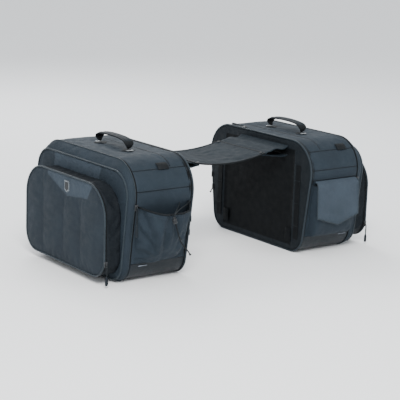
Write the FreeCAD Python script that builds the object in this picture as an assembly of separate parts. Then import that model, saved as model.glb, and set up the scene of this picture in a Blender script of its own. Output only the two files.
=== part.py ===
import FreeCAD, Part
import math
import os

from FreeCAD import Vector

# A pair of throw-over saddle bags on one yoke, standing on their bases.
# X runs along the yoke, Z is up, and the origin is on the floor midway between the bags.
# Each bag is made in the left bag's place. The right bag is the same made again and turned
# half a turn about Z. In a bag, "u" is the distance outward from its inner face.

os.makedirs("parts", exist_ok=True)

# ---- driving dimensions, millimetres ----
HALF_GAP = 180.0            # from the middle of the yoke to a bag's inner face
BAG_HEIGHT = 285.0
BASE_HALF_LENGTH = 177.0
TOP_HALF_LENGTH = 215.0     # where the sloping ends would meet the flat top
BASE_RADIUS = 48.0
SHOULDER_RADIUS = 77.0
WALL = 3.5                  # padded fabric wall
BACK_THICKNESS = 4.0
BOARD_THICKNESS = 2.0
BODY_DEPTH = 157.0          # inner face to the main zipper
ZIPPER_WIDTH = 3.0
LID_GAP = 0.3
LID_DEPTH = 178.0           # inner face to the lid's piping
LID_PANEL_THICKNESS = 3.0
POCKET_DEPTH = 220.6        # inner face to the organiser pocket's zipper
COVER_GAP = 0.4
COVER_THICKNESS = 4.0
BASE_SEAM_HEIGHT = 44.0
TOP_SEAM_HEIGHT = 262.0
SKIN = 2.2                  # wall of the sewn-on pockets

SLOPE = (TOP_HALF_LENGTH - BASE_HALF_LENGTH) / BAG_HEIGHT
SLOPE_ANGLE = math.atan(SLOPE)

# yoke
YOKE_WIDTH = 190.0
YOKE_OFFSET_Y = -20.0
YOKE_MIDDLE_HEIGHT = 240.0
YOKE_END_RISE = 12.0        # how far each hinge line is above the middle
YOKE_TILT = 4.0             # the right hinge line is this much above that, the left below
YOKE_THICKNESS = 4.0
HINGE_X = 106.0             # the riveted line where a bag's sleeve meets the yoke panel
HINGE_CLEARANCE = 2.5
SLEEVE_THICKNESS = 2.0
SLEEVE_UPPER_HEIGHT = 267.0  # where the sleeve's two layers are sewn to the inner face
SLEEVE_LOWER_HEIGHT = 243.0

# handle
HANDLE_U = 88.0
HANDLE_WIDTH = 25.0
HANDLE_BASE_HALF = 60.0

# end pockets
BOTTLE_POCKET_U = (12.5, 150.0)
BOTTLE_POCKET_SECTIONS = ((46.0, 7.0), (88.0, 34.0), (130.0, 52.0), (172.0, 58.0))
FLAP_POCKET_U = (14.0, 150.0)
FLAP_U = (12.0, 152.0)

# zip pulls
SLIDER_LENGTH = 14.0
SLIDER_STAND_OFF = 0.5
MAIN_SLIDER_HEIGHT = 184.0
POCKET_SLIDER_HEIGHT = 54.0
REAR_SLIDER_Y = 84.0
REAR_SLIDER_U = 9.0

# drawcord of the bottle pocket
CORD_RADIUS = 1.5
CORD_ROUTE = (
    (91.0, -262.5, 152.0),
    (88.0, -266.0, 137.0),
    (83.0, -266.5, 121.0),
    (75.0, -265.0, 106.0),
    (64.0, -262.0, 94.0),
    (52.0, -259.0, 84.0),
    (44.0, -257.5, 73.0),
)


# ---- helpers ----
def place(u, y, z):
    """A point of the left bag, from its distance outward from the inner face."""
    return Vector(-(HALF_GAP + u), y, z)


def outward(distance):
    return Vector(-distance, 0, 0)


def rounded_wire(corners, radii):
    """A closed flat wire through the corners, each one rounded to its radius."""
    starts, ends, middles = [], [], []
    count = len(corners)
    for i, corner in enumerate(corners):
        back = (corners[i - 1] - corner).normalize()
        ahead = (corners[(i + 1) % count] - corner).normalize()
        half = back.getAngle(ahead) / 2
        radius = radii[i]
        reach = radius / math.tan(half)
        starts.append(corner + back * reach)
        ends.append(corner + ahead * reach)
        inward = (back + ahead).normalize()
        middles.append(corner + inward * (radius / math.sin(half) - radius))
    edges = []
    for i in range(count):
        if radii[i] > 0:
            edges.append(Part.Arc(starts[i], middles[i], ends[i]).toShape())
        following = starts[(i + 1) % count]
        if ends[i].distanceToPoint(following) > 1e-6:
            edges.append(Part.LineSegment(ends[i], following).toShape())
    return Part.Wire(edges)


def polygon(points):
    return Part.makePolygon(list(points) + [points[0]])


def prism(wire, direction):
    return Part.Face(wire).extrude(direction)


def bag_outline(u, side=0.0, top=0.0, bottom=0.0, side_low=None):
    """The bag's upright outline at u, drawn in by the given amounts."""
    side_low = side if side_low is None else side_low
    low, high = bottom, BAG_HEIGHT - top
    half_low = BASE_HALF_LENGTH + SLOPE * low - side_low
    half_high = BASE_HALF_LENGTH + SLOPE * high - side
    corners = [place(u, -half_low, low), place(u, half_low, low),
               place(u, half_high, high), place(u, -half_high, high)]
    r_low = BASE_RADIUS - max(side_low, bottom)
    r_high = SHOULDER_RADIUS - max(side, top)
    return rounded_wire(corners, [r_low, r_low, r_high, r_high])


def pocket_outline(u, inset=0.0):
    """The organiser pocket's upright outline."""
    low, high = 18.0 + inset, 229.0 - inset
    half_low, half_high = 177.0 - inset, 176.0 - inset
    corners = [place(u, -half_low, low), place(u, half_low, low),
               place(u, half_high, high), place(u, -half_high, high)]
    return rounded_wire(corners, [47.0 - inset, 47.0 - inset, 75.0 - inset, 75.0 - inset])


def slab(u_low, u_high, y_low, y_high, z_low, z_high):
    """A block in bag terms."""
    corner = place(u_high, y_low, z_low)
    return Part.makeBox(u_high - u_low, y_high - y_low, z_high - z_low, corner)


def end_point(sign, u, z, out):
    """A point over an end wall: at height z on the wall, then out along its normal."""
    y = BASE_HALF_LENGTH + SLOPE * z + out * math.cos(SLOPE_ANGLE)
    return place(u, sign * y, z - out * math.sin(SLOPE_ANGLE))


def end_prism(sign, profile, u_low, u_high):
    """A prism along u over an end wall, from (height, stand-off) points."""
    wire = polygon([end_point(sign, u_low, z, out) for z, out in profile])
    return prism(wire, outward(u_high - u_low))


def group(shapes):
    return Part.makeCompound(shapes)


# ---- body of the bag ----
def body_ring():
    outer = prism(bag_outline(BACK_THICKNESS, 1.5, 1.5), outward(BODY_DEPTH - BACK_THICKNESS))
    inner = bag_outline(BACK_THICKNESS, 1.5 + WALL, 1.5 + WALL, WALL)
    return outer.cut(prism(inner, outward(BODY_DEPTH - BACK_THICKNESS)))


def body_nodes():
    """Base, top and the two end walls, cut from one ring along the seams."""
    ring = body_ring()
    reach = TOP_HALF_LENGTH + 20
    base = ring.common(slab(-5, 200, -reach, reach, -5, BASE_SEAM_HEIGHT))
    top = ring.common(slab(-5, 200, -reach, reach, TOP_SEAM_HEIGHT, BAG_HEIGHT + 5))
    bottle_end = ring.common(slab(-5, 200, -reach, 0, BASE_SEAM_HEIGHT, TOP_SEAM_HEIGHT))
    flap_end = ring.common(slab(-5, 200, 0, reach, BASE_SEAM_HEIGHT, TOP_SEAM_HEIGHT))
    return {"base_panel": base, "top_panel": top,
            "end_panel_bottle": bottle_end, "end_panel_flap": flap_end}


def back_panel():
    return prism(bag_outline(0), outward(BACK_THICKNESS))


def back_board():
    """Stiff sheet inside the back panel's lining."""
    wire = bag_outline(BACK_THICKNESS, 9, 9, 9)
    return prism(wire, outward(BOARD_THICKNESS))


def base_board():
    """Stiff sheet that lies inside the bag on its base."""
    half = BASE_HALF_LENGTH - BASE_RADIUS
    return slab(9, BODY_DEPTH - 3, -half, half, WALL, WALL + BOARD_THICKNESS)


def back_straps():
    """Webbing on the inner face: two upright runs, a stow pocket and two edge loops."""
    pieces = []
    for y in (-150.0, 150.0):
        pieces.append(slab(-1.6, 0, y - 12.5, y + 12.5, 30, 232))
    edge = BASE_HALF_LENGTH - 4
    for z in (106.0, 139.0):
        y = -(edge + SLOPE * z)
        pieces.append(slab(-3.2, 0, y - 9, y + 3, z - 8, z + 8))
    return group(pieces)


def zipper_track():
    """Main zipper round three sides, open at the hinged base, and the inner ring's coil."""
    outer = prism(bag_outline(BODY_DEPTH, 1.5, 1.5), outward(ZIPPER_WIDTH))
    ring = outer.cut(prism(bag_outline(BODY_DEPTH, 4.5, 4.5, 3), outward(ZIPPER_WIDTH)))
    main = ring.common(slab(0, 200, -300, 300, BASE_SEAM_HEIGHT, 300))
    coil = prism(bag_outline(REAR_SLIDER_U - 2, 0.5, 0.5), outward(4))
    coil = coil.cut(prism(bag_outline(REAR_SLIDER_U - 2, 1.5, 1.5), outward(4)))
    coil = coil.common(slab(0, 200, -300, 300, BASE_SEAM_HEIGHT, 300))
    return group([main, coil])


def lash_loops():
    """A webbing loop sewn above the seam at each end."""
    pieces = []
    for sign, u in ((-1, 72.0), (1, 118.0)):
        shoulder = BAG_HEIGHT - SHOULDER_RADIUS
        middle = BASE_HALF_LENGTH + SLOPE * shoulder - SHOULDER_RADIUS + 0.7
        radius = SHOULDER_RADIUS - 1.5
        wire = []
        for angle, lift in ((46, 0.05), (46, 1.8), (54, 1.8), (54, 0.05)):
            turn = math.radians(angle)
            y = middle + (radius + lift) * math.cos(turn)
            wire.append(place(u - 14, sign * y, shoulder + (radius + lift) * math.sin(turn)))
        pieces.append(prism(polygon(wire), outward(28)))
    return group(pieces)


def handle_anchors():
    """Sewn patches with a flat metal rivet bar each."""
    pieces = []
    top = BAG_HEIGHT - 1.5
    for y in (-HANDLE_BASE_HALF, HANDLE_BASE_HALF):
        side = math.copysign(1, y)
        pieces.append(slab(HANDLE_U - 19, HANDLE_U + 19, y - 19, y + 19, top, top + 1.2))
        bar = y + side * 9
        pieces.append(slab(HANDLE_U - 8, HANDLE_U + 8, bar - 2.5, bar + 2.5, top + 1.2, top + 3))
    return group(pieces)


def handle():
    """Webbing bent back under at both ends, with a moulded grip along the middle."""
    floor = BAG_HEIGHT - 1.5
    b = HANDLE_BASE_HALF
    points = [(-b, 3), (-b - 9, 18), (-b + 2, 28), (0, 32), (b - 2, 28), (b + 9, 18), (b, 3)]
    points += [(b - 5, 3), (b + 3, 17), (b - 6, 22.5), (0, 26.5)]
    points += [(-b + 6, 22.5), (-b - 3, 17), (-b + 5, 3)]
    radii = [0, 8, 12, 60, 12, 8, 0, 0, 4, 8, 60, 8, 4, 0]
    u = HANDLE_U - HANDLE_WIDTH / 2
    corners = [place(u, y, floor + z) for y, z in points]
    strap = prism(rounded_wire(corners, radii), outward(HANDLE_WIDTH))
    w = HANDLE_WIDTH / 2
    front = [(-2.2, 3.8), (-w, 13), (-w, 40), (w, 40), (w, 13), (2.2, 3.8)]
    mask = polygon([place(HANDLE_U + du, -90, floor + z) for du, z in front])
    return strap.common(prism(mask, Vector(0, 180, 0)))


# ---- lid and organiser pocket ----
def lid_gusset():
    """The bevelled edge from the zipper out to the lid's piping."""
    start = BODY_DEPTH + ZIPPER_WIDTH + LID_GAP
    outer = Part.makeLoft([bag_outline(start, 1, 1),
                           bag_outline(LID_DEPTH, 8, 24, 6, 3)], True, True)
    inner = Part.makeLoft([bag_outline(start, 4, 4, 3),
                           bag_outline(LID_DEPTH, 11, 27, 9, 6)], True, True)
    return outer.cut(inner)


def lid_panel():
    wire = bag_outline(LID_DEPTH, 8, 24, 6, 3)
    return prism(wire, outward(LID_PANEL_THICKNESS))


def pocket_gusset():
    start = LID_DEPTH + LID_PANEL_THICKNESS
    outer = prism(pocket_outline(start), outward(POCKET_DEPTH - start))
    return outer.cut(prism(pocket_outline(start, SKIN), outward(POCKET_DEPTH - start)))


def pocket_cover():
    return prism(pocket_outline(POCKET_DEPTH + COVER_GAP), outward(COVER_THICKNESS))


def badge():
    """A small blank plate on the contrast patch."""
    face = POCKET_DEPTH + COVER_GAP + COVER_THICKNESS
    corners = [place(face, -24, 193), place(face, -16, 189), place(face, -4, 189),
               place(face, -4, 217), place(face, -24, 217)]
    return prism(rounded_wire(corners, [2, 2, 2, 3, 3]), outward(1.4))


# ---- pockets on the ends ----
def bottle_section(z, bulge, inset):
    u_low, u_high = BOTTLE_POCKET_U
    wall = -(BASE_HALF_LENGTH + SLOPE * z) + 1.5
    back = wall + (1.0 if inset else 0.0)
    a = place(u_low + inset, back, z)
    b = place(u_high - inset, back, z)
    middle = place((u_low + u_high) / 2, wall - bulge + inset, z)
    return Part.Wire([Part.Arc(a, middle, b).toShape(), Part.LineSegment(b, a).toShape()])


def bottle_pocket():
    """A gathered pocket that stands open at its hem."""
    outer = [bottle_section(z, bulge, 0) for z, bulge in BOTTLE_POCKET_SECTIONS]
    inner = []
    for i, (z, bulge) in enumerate(BOTTLE_POCKET_SECTIONS):
        height = z + (SKIN if i == 0 else 1.0 if i == len(BOTTLE_POCKET_SECTIONS) - 1 else 0)
        inner.append(bottle_section(height, bulge, SKIN))
    return Part.makeLoft(outer, True, True).cut(Part.makeLoft(inner, True, True))


def cord_tube(route, radius):
    """Straight runs joined by tangent arcs as large as the runs allow."""
    points = [Vector(*p) for p in route]
    edges, here, arcs = [], points[0], []
    for before, corner, after in zip(points, points[1:], points[2:]):
        back = (before - corner).normalize()
        ahead = (after - corner).normalize()
        half = back.getAngle(ahead) / 2
        reach = 0.45 * min(before.distanceToPoint(corner), after.distanceToPoint(corner))
        bend = reach * math.tan(half)
        middle = corner + (back + ahead).normalize() * (bend / math.sin(half) - bend)
        edges.append(Part.LineSegment(here, corner + back * reach).toShape())
        here = corner + ahead * reach
        edges.append(Part.Arc(corner + back * reach, middle, here).toShape())
        arcs.append(round(bend, 1))
    edges.append(Part.LineSegment(here, points[-1]).toShape())
    path = Part.Wire(edges)
    profile = Part.Wire(Part.makeCircle(radius, points[0], points[1] - points[0]))
    tube = path.makePipeShell([profile], True, False)
    section = math.pi * radius ** 2 * path.Length
    print("cord", round(path.Length, 1), "mm, arc radii", arcs,
          "volume over section times length", round(tube.Volume / section, 4))
    return tube


def drawcord():
    route = [place(*p) for p in CORD_ROUTE]
    return cord_tube([(p.x, p.y, p.z) for p in route], CORD_RADIUS)


def cord_lock():
    """Barrel lock below the hem, and the held cord that runs over the hem to the wall."""
    exit_point = place(*CORD_ROUTE[0])
    direction = (place(*CORD_ROUTE[0]) - place(*CORD_ROUTE[1])).normalize()
    barrel = Part.makeCylinder(5.5, 15, exit_point, direction)
    crown = exit_point + direction * 15
    over = place(90.0, -259.5, 176.0)
    ends = [end_point(-1, 38.0, 184.0, 2.5), end_point(-1, 8.0, 186.0, 2.5)]
    pieces = [Part.makeSphere(CORD_RADIUS, over)]
    for start, run in ((crown, over - crown), (over, ends[0] - over), (over, ends[1] - over)):
        pieces.append(Part.makeCylinder(CORD_RADIUS, run.Length, start, run))
    return barrel.fuse(pieces).removeSplitter()


def flap_pocket():
    low, high = FLAP_POCKET_U
    front = ((46, -1.4), (46, 13), (62, 24), (110, 28), (182, 14), (182, -1.4))
    hollow = ((48.2, -3), (48.2, 11.5), (63, 21.8), (110, 25.7), (184, 11.6), (184, -3))
    outer = end_prism(1, front, low, high)
    return outer.cut(end_prism(1, hollow, low + SKIN, high - SKIN))


def pocket_flap():
    """Five-sided flap: hinged above the pocket, over its mouth and down its front."""
    low, high = FLAP_U
    profile = ((191, 0.5), (184.5, 15.0), (84, 34.0), (84, 36.6), (186.5, 17.2), (194, 0.5))
    bent = end_prism(1, profile, low, high)
    shield = ((low, 200), (high, 200), (high, 103), ((low + high) / 2, 82), (low, 103))
    mask = polygon([place(u, 0, z) for u, z in shield])
    return bent.common(prism(mask, Vector(0, 400, 0)))


# ---- zip sliders and pulls ----
def side_slider(sign, anchor, lean):
    """A slider on an end wall at the anchor point, its length along the wall."""
    direction = Vector(0, sign * math.sin(lean), math.cos(lean))
    normal = Vector(0, sign * math.cos(lean), -math.sin(lean))
    low = anchor + normal * SLIDER_STAND_OFF - direction * (SLIDER_LENGTH / 2)
    corners = [low + outward(-5), low + outward(5),
               low + outward(3.5) + direction * SLIDER_LENGTH,
               low + outward(-3.5) + direction * SLIDER_LENGTH]
    return prism(rounded_wire(corners, [1.5, 1.5, 1.5, 1.5]), normal * 3.2)


def hanging_pull(sign, anchor, length):
    """Cord loop and moulded grip hanging from a slider."""
    hook = anchor + Vector(0, sign * 5.6, 0)
    cord = Part.makeCylinder(1.3, length * 0.55, hook, Vector(0, 0, -1))
    tip = hook + Vector(0, 0, -length * 0.55)
    wire = [tip + Vector(-2.4, 0, 0), tip + Vector(2.4, 0, 0),
            tip + Vector(4.2, 0, -length * 0.45), tip + Vector(-4.2, 0, -length * 0.45)]
    grip = prism(rounded_wire([p + Vector(0, -1.8, 0) for p in wire], [1, 1, 2, 2]),
                 Vector(0, 3.6, 0))
    return cord.fuse(grip).removeSplitter()


def zip_pull_nodes(near):
    """Sliders and pulls of one bag. near is the sign of the end that carries them."""
    main = end_point(near, BODY_DEPTH + ZIPPER_WIDTH / 2, MAIN_SLIDER_HEIGHT, 0)
    pocket = place(POCKET_DEPTH, near * 177.0, POCKET_SLIDER_HEIGHT)
    rear = place(REAR_SLIDER_U, -near * REAR_SLIDER_Y, BAG_HEIGHT + 1.2)
    rear_cord = Part.makeCylinder(1.3, 24, rear + Vector(0, 0, 2.0), Vector(0, -near, 0.02))
    taper = ((-2.4, 24), (2.4, 24), (4.2, 44), (-4.2, 44))
    corners = [rear + Vector(dx, -near * dy, 0.8) for dx, dy in taper]
    rear_grip = prism(rounded_wire(corners, [1, 1, 2, 2]), Vector(0, 0, 3.6))
    return {
        "main_slider": side_slider(near, main, SLOPE_ANGLE),
        "main_pull": hanging_pull(near, main + Vector(0, near * 1.0, -2), 66.0),
        "pocket_slider": side_slider(near, pocket, 0.0),
        "pocket_pull": hanging_pull(near, pocket + Vector(0, near * 1.0, -2), 46.0),
        "rear_pull": rear_cord.fuse(rear_grip).removeSplitter(),
    }


# ---- yoke ----
def yoke_height(x):
    """The yoke panel's middle surface, sagging between its two hinge lines."""
    share = x / HINGE_X
    return YOKE_MIDDLE_HEIGHT + YOKE_END_RISE * share ** 2 + YOKE_TILT * share


def yoke_panel():
    end = HINGE_X - HINGE_CLEARANCE
    across = [end * step / 4 for step in range(-4, 5)]
    low = YOKE_OFFSET_Y - YOKE_WIDTH / 2
    upper = [Vector(x, low, yoke_height(x) + YOKE_THICKNESS / 2) for x in across]
    lower = [Vector(x, low, yoke_height(x) - YOKE_THICKNESS / 2) for x in reversed(across)]
    return prism(polygon(upper + lower), Vector(0, YOKE_WIDTH, 0))


def yoke_rivets():
    """A rivet through each corner of the panel."""
    pieces = []
    for x in (-HINGE_X + 9, HINGE_X - 9):
        for side in (-1, 1):
            y = YOKE_OFFSET_Y + side * (YOKE_WIDTH / 2 - 9)
            z = yoke_height(x) + YOKE_THICKNESS / 2
            pieces.append(Part.makeCone(4, 2.6, 1.6, Vector(x, y, z + 1.0)))
    return group(pieces)


def yoke_sleeve(turned):
    """Two layers that run from the riveted line and part before the bag's inner face."""
    side = 1 if turned else -1
    hinge = yoke_height(side * HINGE_X)
    start = -(HALF_GAP - HINGE_X) + HINGE_CLEARANCE
    t = SLEEVE_THICKNESS
    offset = -YOKE_OFFSET_Y if turned else YOKE_OFFSET_Y
    low = offset - YOKE_WIDTH / 2
    layers = []
    for end, first in ((SLEEVE_UPPER_HEIGHT, hinge), (SLEEVE_LOWER_HEIGHT, hinge - t)):
        corners = [place(start, low, first), place(0, low, end),
                   place(0, low, end + t), place(start, low, first + t)]
        layers.append(prism(polygon(corners), Vector(0, YOKE_WIDTH, 0)))
    return group(layers)


# ---- the whole object ----
def bag_nodes(turned):
    near = 1 if turned else -1
    nodes = body_nodes()
    nodes.update({
        "back_panel": back_panel(), "back_board": back_board(), "base_board": base_board(),
        "back_straps": back_straps(), "zipper_track": zipper_track(),
        "lash_loops": lash_loops(), "handle_anchors": handle_anchors(), "handle": handle(),
        "lid_gusset": lid_gusset(), "lid_panel": lid_panel(),
        "organiser_gusset": pocket_gusset(), "organiser_cover": pocket_cover(),
        "badge": badge(), "bottle_pocket": bottle_pocket(), "cord_lock": cord_lock(),
        "drawcord": drawcord(), "flap_pocket": flap_pocket(), "pocket_flap": pocket_flap(),
        "yoke_sleeve": yoke_sleeve(turned),
    })
    nodes.update(zip_pull_nodes(near))
    return nodes


def main():
    parts = {"yoke_panel": yoke_panel(), "yoke_rivets": yoke_rivets()}
    for name, turned in (("left", False), ("right", True)):
        for node, shape in bag_nodes(turned).items():
            if turned:
                shape.rotate(Vector(0, 0, 0), Vector(0, 0, 1), 180)
            parts[node + "_" + name] = shape
    for node, shape in parts.items():
        if not shape.isValid():
            print("not valid:", node)
        shape.exportStep("parts/" + node + ".step")
    print(len(parts), "parts")


main()
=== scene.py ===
import math

import bpy
import numpy as np
from mathutils import Matrix, Quaternion, Vector, geometry, noise
from mathutils.bvhtree import BVHTree


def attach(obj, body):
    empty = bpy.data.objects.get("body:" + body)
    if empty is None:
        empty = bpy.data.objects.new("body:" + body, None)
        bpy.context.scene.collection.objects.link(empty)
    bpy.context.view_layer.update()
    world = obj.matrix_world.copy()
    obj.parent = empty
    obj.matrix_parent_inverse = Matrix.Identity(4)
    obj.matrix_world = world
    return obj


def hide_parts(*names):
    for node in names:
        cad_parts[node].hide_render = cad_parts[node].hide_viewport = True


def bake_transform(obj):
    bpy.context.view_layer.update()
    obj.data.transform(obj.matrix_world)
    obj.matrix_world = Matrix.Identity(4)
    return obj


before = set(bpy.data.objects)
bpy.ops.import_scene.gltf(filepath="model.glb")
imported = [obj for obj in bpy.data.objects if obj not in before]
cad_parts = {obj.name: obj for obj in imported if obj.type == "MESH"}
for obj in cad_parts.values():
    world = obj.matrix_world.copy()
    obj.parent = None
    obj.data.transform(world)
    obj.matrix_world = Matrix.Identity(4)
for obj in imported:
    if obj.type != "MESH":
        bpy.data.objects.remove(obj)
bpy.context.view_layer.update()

# Lengths are in millimetres unless a name ends in _M. In a bag, u is the distance outward from
# its inner face. Everything that both bags share is made in the left bag's place and then
# copied half a turn round for the right one.
MM = 0.001
HALF_GAP = 180.0
BAG_HEIGHT = 285.0
BASE_HALF = 177.0
TOP_HALF = 215.0
BASE_RADIUS = 48.0
SHOULDER_RADIUS = 77.0
BODY_DEPTH = 157.0
LID_START = 160.3
LID_DEPTH = 178.0
LID_FACE = 181.0
POCKET_DEPTH = 220.6
COVER_START = 221.0
SLOPE = (TOP_HALF - BASE_HALF) / BAG_HEIGHT
SLOPE_ANGLE = math.atan(SLOPE)

BASE_SEAM = 44.0
END_SEAMS = (219.0, 262.0)
FLAP_SEAM = 194.0
TOP_SEAM_U = 50.0

HANDLE_U = 88.0
HANDLE_BASE = 60.0
HANDLE_FLOOR = BAG_HEIGHT - 1.5

YOKE_Y = -20.0
YOKE_WIDTH = 190.0
HINGE_X = 106.0
YOKE_MIDDLE_Z = 240.0
YOKE_RISE = 12.0
YOKE_TILT = 4.0

CORD_ROUTE = (
    (91.0, -262.5, 152.0),
    (88.0, -266.0, 137.0),
    (83.0, -266.5, 121.0),
    (75.0, -265.0, 106.0),
    (64.0, -262.0, 94.0),
    (52.0, -259.0, 84.0),
    (44.0, -257.5, 73.0),
)
CORD_DIAMETER_M = 0.003
BEAD_SHARE = 0.36

CAMERA_TARGET_M = Vector((-0.0338, -0.0360, 0.1355))
CAMERA_AZIMUTH = math.radians(-37.1)
CAMERA_ELEVATION = math.radians(12.7)
CAMERA_ROLL = math.radians(2.0)
CAMERA_DISTANCE_M = 3.155
CAMERA_LENS = 114.2
FLOOR_HALF_M = 14.0
FLOOR_Z_M = -0.0006


# ---- camera, floor and light ----
def linked(name, data):
    thing = bpy.data.objects.new(name, data)
    bpy.context.scene.collection.objects.link(thing)
    return thing


def aimed(name, data, place, target, roll=0.0):
    """A camera or light at a place, looking at the target."""
    thing = linked(name, data)
    thing.location = place
    thing.rotation_mode = "QUATERNION"
    aim = (Vector(target) - Vector(place)).to_track_quat("-Z", "Y")
    thing.rotation_quaternion = aim @ Quaternion((0, 0, 1), roll)
    return thing


def make_camera():
    data = bpy.data.cameras.new("camera")
    data.lens = CAMERA_LENS
    data.sensor_width = 36.0
    data.clip_end = 60.0
    back = Vector((math.sin(CAMERA_AZIMUTH) * math.cos(CAMERA_ELEVATION),
                   -math.cos(CAMERA_AZIMUTH) * math.cos(CAMERA_ELEVATION),
                   math.sin(CAMERA_ELEVATION)))
    place = CAMERA_TARGET_M + back * CAMERA_DISTANCE_M
    bpy.context.scene.camera = aimed("camera", data, place, CAMERA_TARGET_M, CAMERA_ROLL)


def area_light(name, place, target, size, power, tint=(1, 1, 1)):
    data = bpy.data.lights.new(name, "AREA")
    data.shape = "DISK"
    data.size = size
    data.energy = power
    data.color = tint
    aimed(name, data, place, target)


def make_stage():
    world = bpy.data.worlds.new("studio")
    bpy.context.scene.world = world
    world.use_nodes = True
    background = world.node_tree.nodes["Background"]
    background.inputs["Color"].default_value = (0.95, 0.975, 1.0, 1)
    background.inputs["Strength"].default_value = 1.25
    area_light("key", (-1.5, -2.1, 2.5), (-0.1, 0, 0.15), 1.3, 120, (1.0, 0.99, 0.97))
    area_light("fill", (2.4, -2.2, 1.3), (0.1, 0, 0.12), 2.2, 12, (0.95, 0.98, 1.0))
    area_light("rim", (0.6, 2.4, 2.2), (0, 0, 0.2), 1.8, 60)
    mesh = bpy.data.meshes.new("floor")
    corners = [(x * FLOOR_HALF_M, y * FLOOR_HALF_M, FLOOR_Z_M)
               for x, y in ((-1, -1), (1, -1), (1, 1), (-1, 1))]
    mesh.from_pydata(corners, [], [(0, 1, 2, 3)])
    n = Nodes("floor_white")
    n.finish({"Base Color": (0.9, 0.91, 0.92, 1), "Roughness": 0.9})
    mesh.materials.append(n.material)
    linked("floor", mesh)


# ---- materials ----
class Nodes:
    """Short ways to add nodes to a material's tree."""

    def __init__(self, name):
        self.material = bpy.data.materials.new(name)
        self.material.use_nodes = True
        self.tree = self.material.node_tree
        self.shader = self.tree.nodes["Principled BSDF"]

    def link(self, value, socket):
        if isinstance(value, (int, float, tuple)):
            socket.default_value = value
        else:
            self.tree.links.new(value, socket)

    def finish(self, values):
        for name, value in values.items():
            self.link(value, self.shader.inputs[name])

    def node(self, kind, inputs=(), **settings):
        node = self.tree.nodes.new("ShaderNode" + kind)
        for name, value in settings.items():
            setattr(node, name, value)
        for socket, value in dict(inputs).items():
            self.link(value, node.inputs[socket])
        return node

    def math(self, operation, a, b=0.0):
        return self.node("Math", {0: a, 1: b}, operation=operation).outputs[0]

    def mix(self, factor, a, b):
        """a at factor 0, b at factor 1, for plain numbers."""
        return self.math("ADD", self.math("MULTIPLY", a, self.math("SUBTRACT", 1.0, factor)),
                         self.math("MULTIPLY", b, factor))

    def mix_colour(self, factor, a, b):
        return self.node("Mix", {0: factor, 6: a, 7: b}, data_type="RGBA").outputs[2]

    def shaded(self, shade, colour):
        """The colour times the shade, which may go up to 2."""
        return self.mix_colour(self.math("MULTIPLY", shade, 0.5), (0, 0, 0, 1),
                               scaled(colour, 2.0))

    def cloth(self):
        """Cloth coordinates in metres, and their two parts."""
        place = self.node("Attribute", attribute_name="weave").outputs["Vector"]
        parts = self.node("SeparateXYZ", {0: place}).outputs
        return place, parts[0], parts[1]

    def wave(self, value, pitch):
        return self.math("SINE", self.math("MULTIPLY", value, math.pi / (pitch * MM)))

    def ribs(self, value, pitch):
        return self.math("ABSOLUTE", self.wave(value, pitch))

    def ramp(self, value, start, end, low=0.0, high=1.0):
        return self.node("MapRange", {"Value": value, "From Min": start, "From Max": end,
                                      "To Min": low, "To Max": high}).outputs[0]

    def noise(self, vector, scale, detail, low, high):
        """Noise, whose usual range is 0.3 to 0.7, brought to the given range."""
        node = self.node("TexNoise", {"Vector": vector, "Scale": scale, "Detail": detail})
        return self.ramp(node.outputs[0], 0.3, 0.7, low, high)

    def bump(self, height, distance, strength):
        node = self.node("Bump", {"Height": height, "Distance": distance, "Strength": strength})
        self.finish({"Normal": node.outputs["Normal"]})

    def edges(self, share):
        """High on worn outer edges, low elsewhere."""
        pointed = self.node("NewGeometry").outputs["Pointiness"]
        return self.math("MULTIPLY", self.ramp(pointed, 0.52, 0.62), share)


def scaled(colour, share):
    return tuple(c * share for c in colour) + (1.0,)


def woven(name, colour, thread=0.9, roughness=(0.62, 0.78), sheen=0.02, contrast=0.30,
          specular=0.13):
    """Plain or ballistic weave: threads cross over and under, with slubs and soft fading."""
    n = Nodes(name)
    place, x, y = n.cloth()
    across, along = n.wave(x, thread), n.wave(y, thread)
    over = n.math("GREATER_THAN", n.math("MULTIPLY", across, along), 0.0)
    height = n.mix(over, n.math("ABSOLUTE", across), n.math("ABSOLUTE", along))
    uneven = n.math("MULTIPLY", n.noise(place, 14.0, 3.0, 0.86, 1.14),
                    n.noise(place, 900.0, 1.0, 0.9, 1.1))
    shade = n.math("MULTIPLY", uneven, n.mix(height, 1.0 - contrast, 1.0 + contrast * 0.5))
    n.finish({"Base Color": n.mix_colour(n.edges(0.25), n.shaded(shade, colour),
                                         scaled(colour, 2.6)),
              "Roughness": n.noise(place, 60.0, 2.0, *roughness), "Sheen Weight": sheen,
              "Sheen Roughness": 0.45, "Sheen Tint": (0.75, 0.85, 1.0, 1),
              "Specular IOR Level": specular})
    n.bump(height, 0.00022, 0.55)
    return n.material


def ribbed(name, colour, pitch=1.6, roughness=0.65):
    """Webbing: ribs across its length, a finer grain along it."""
    n = Nodes(name)
    place, x, y = n.cloth()
    rib = n.ribs(x, pitch)
    shade = n.math("MULTIPLY", n.noise(place, 40.0, 2.0, 0.85, 1.15), n.mix(rib, 0.65, 1.1))
    n.finish({"Base Color": n.shaded(shade, colour), "Specular IOR Level": 0.13,
              "Roughness": n.noise(place, 120.0, 2.0, roughness - 0.08, roughness + 0.08)})
    n.bump(n.math("ADD", rib, n.math("MULTIPLY", n.ribs(y, 0.8), 0.4)), 0.0003, 0.5)
    return n.material


def braided(name, colour):
    """Round cord: two sets of strands that cross on a slant."""
    n = Nodes(name)
    place, x, y = n.cloth()
    height = n.math("MAXIMUM", n.ribs(n.math("ADD", x, y), 1.5),
                    n.ribs(n.math("SUBTRACT", x, y), 1.5))
    n.finish({"Base Color": n.mix_colour(height, scaled(colour, 0.5), scaled(colour, 1.4)),
              "Roughness": n.noise(place, 200.0, 2.0, 0.5, 0.65), "Specular IOR Level": 0.15})
    n.bump(height, 0.0003, 0.6)
    return n.material


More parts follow.
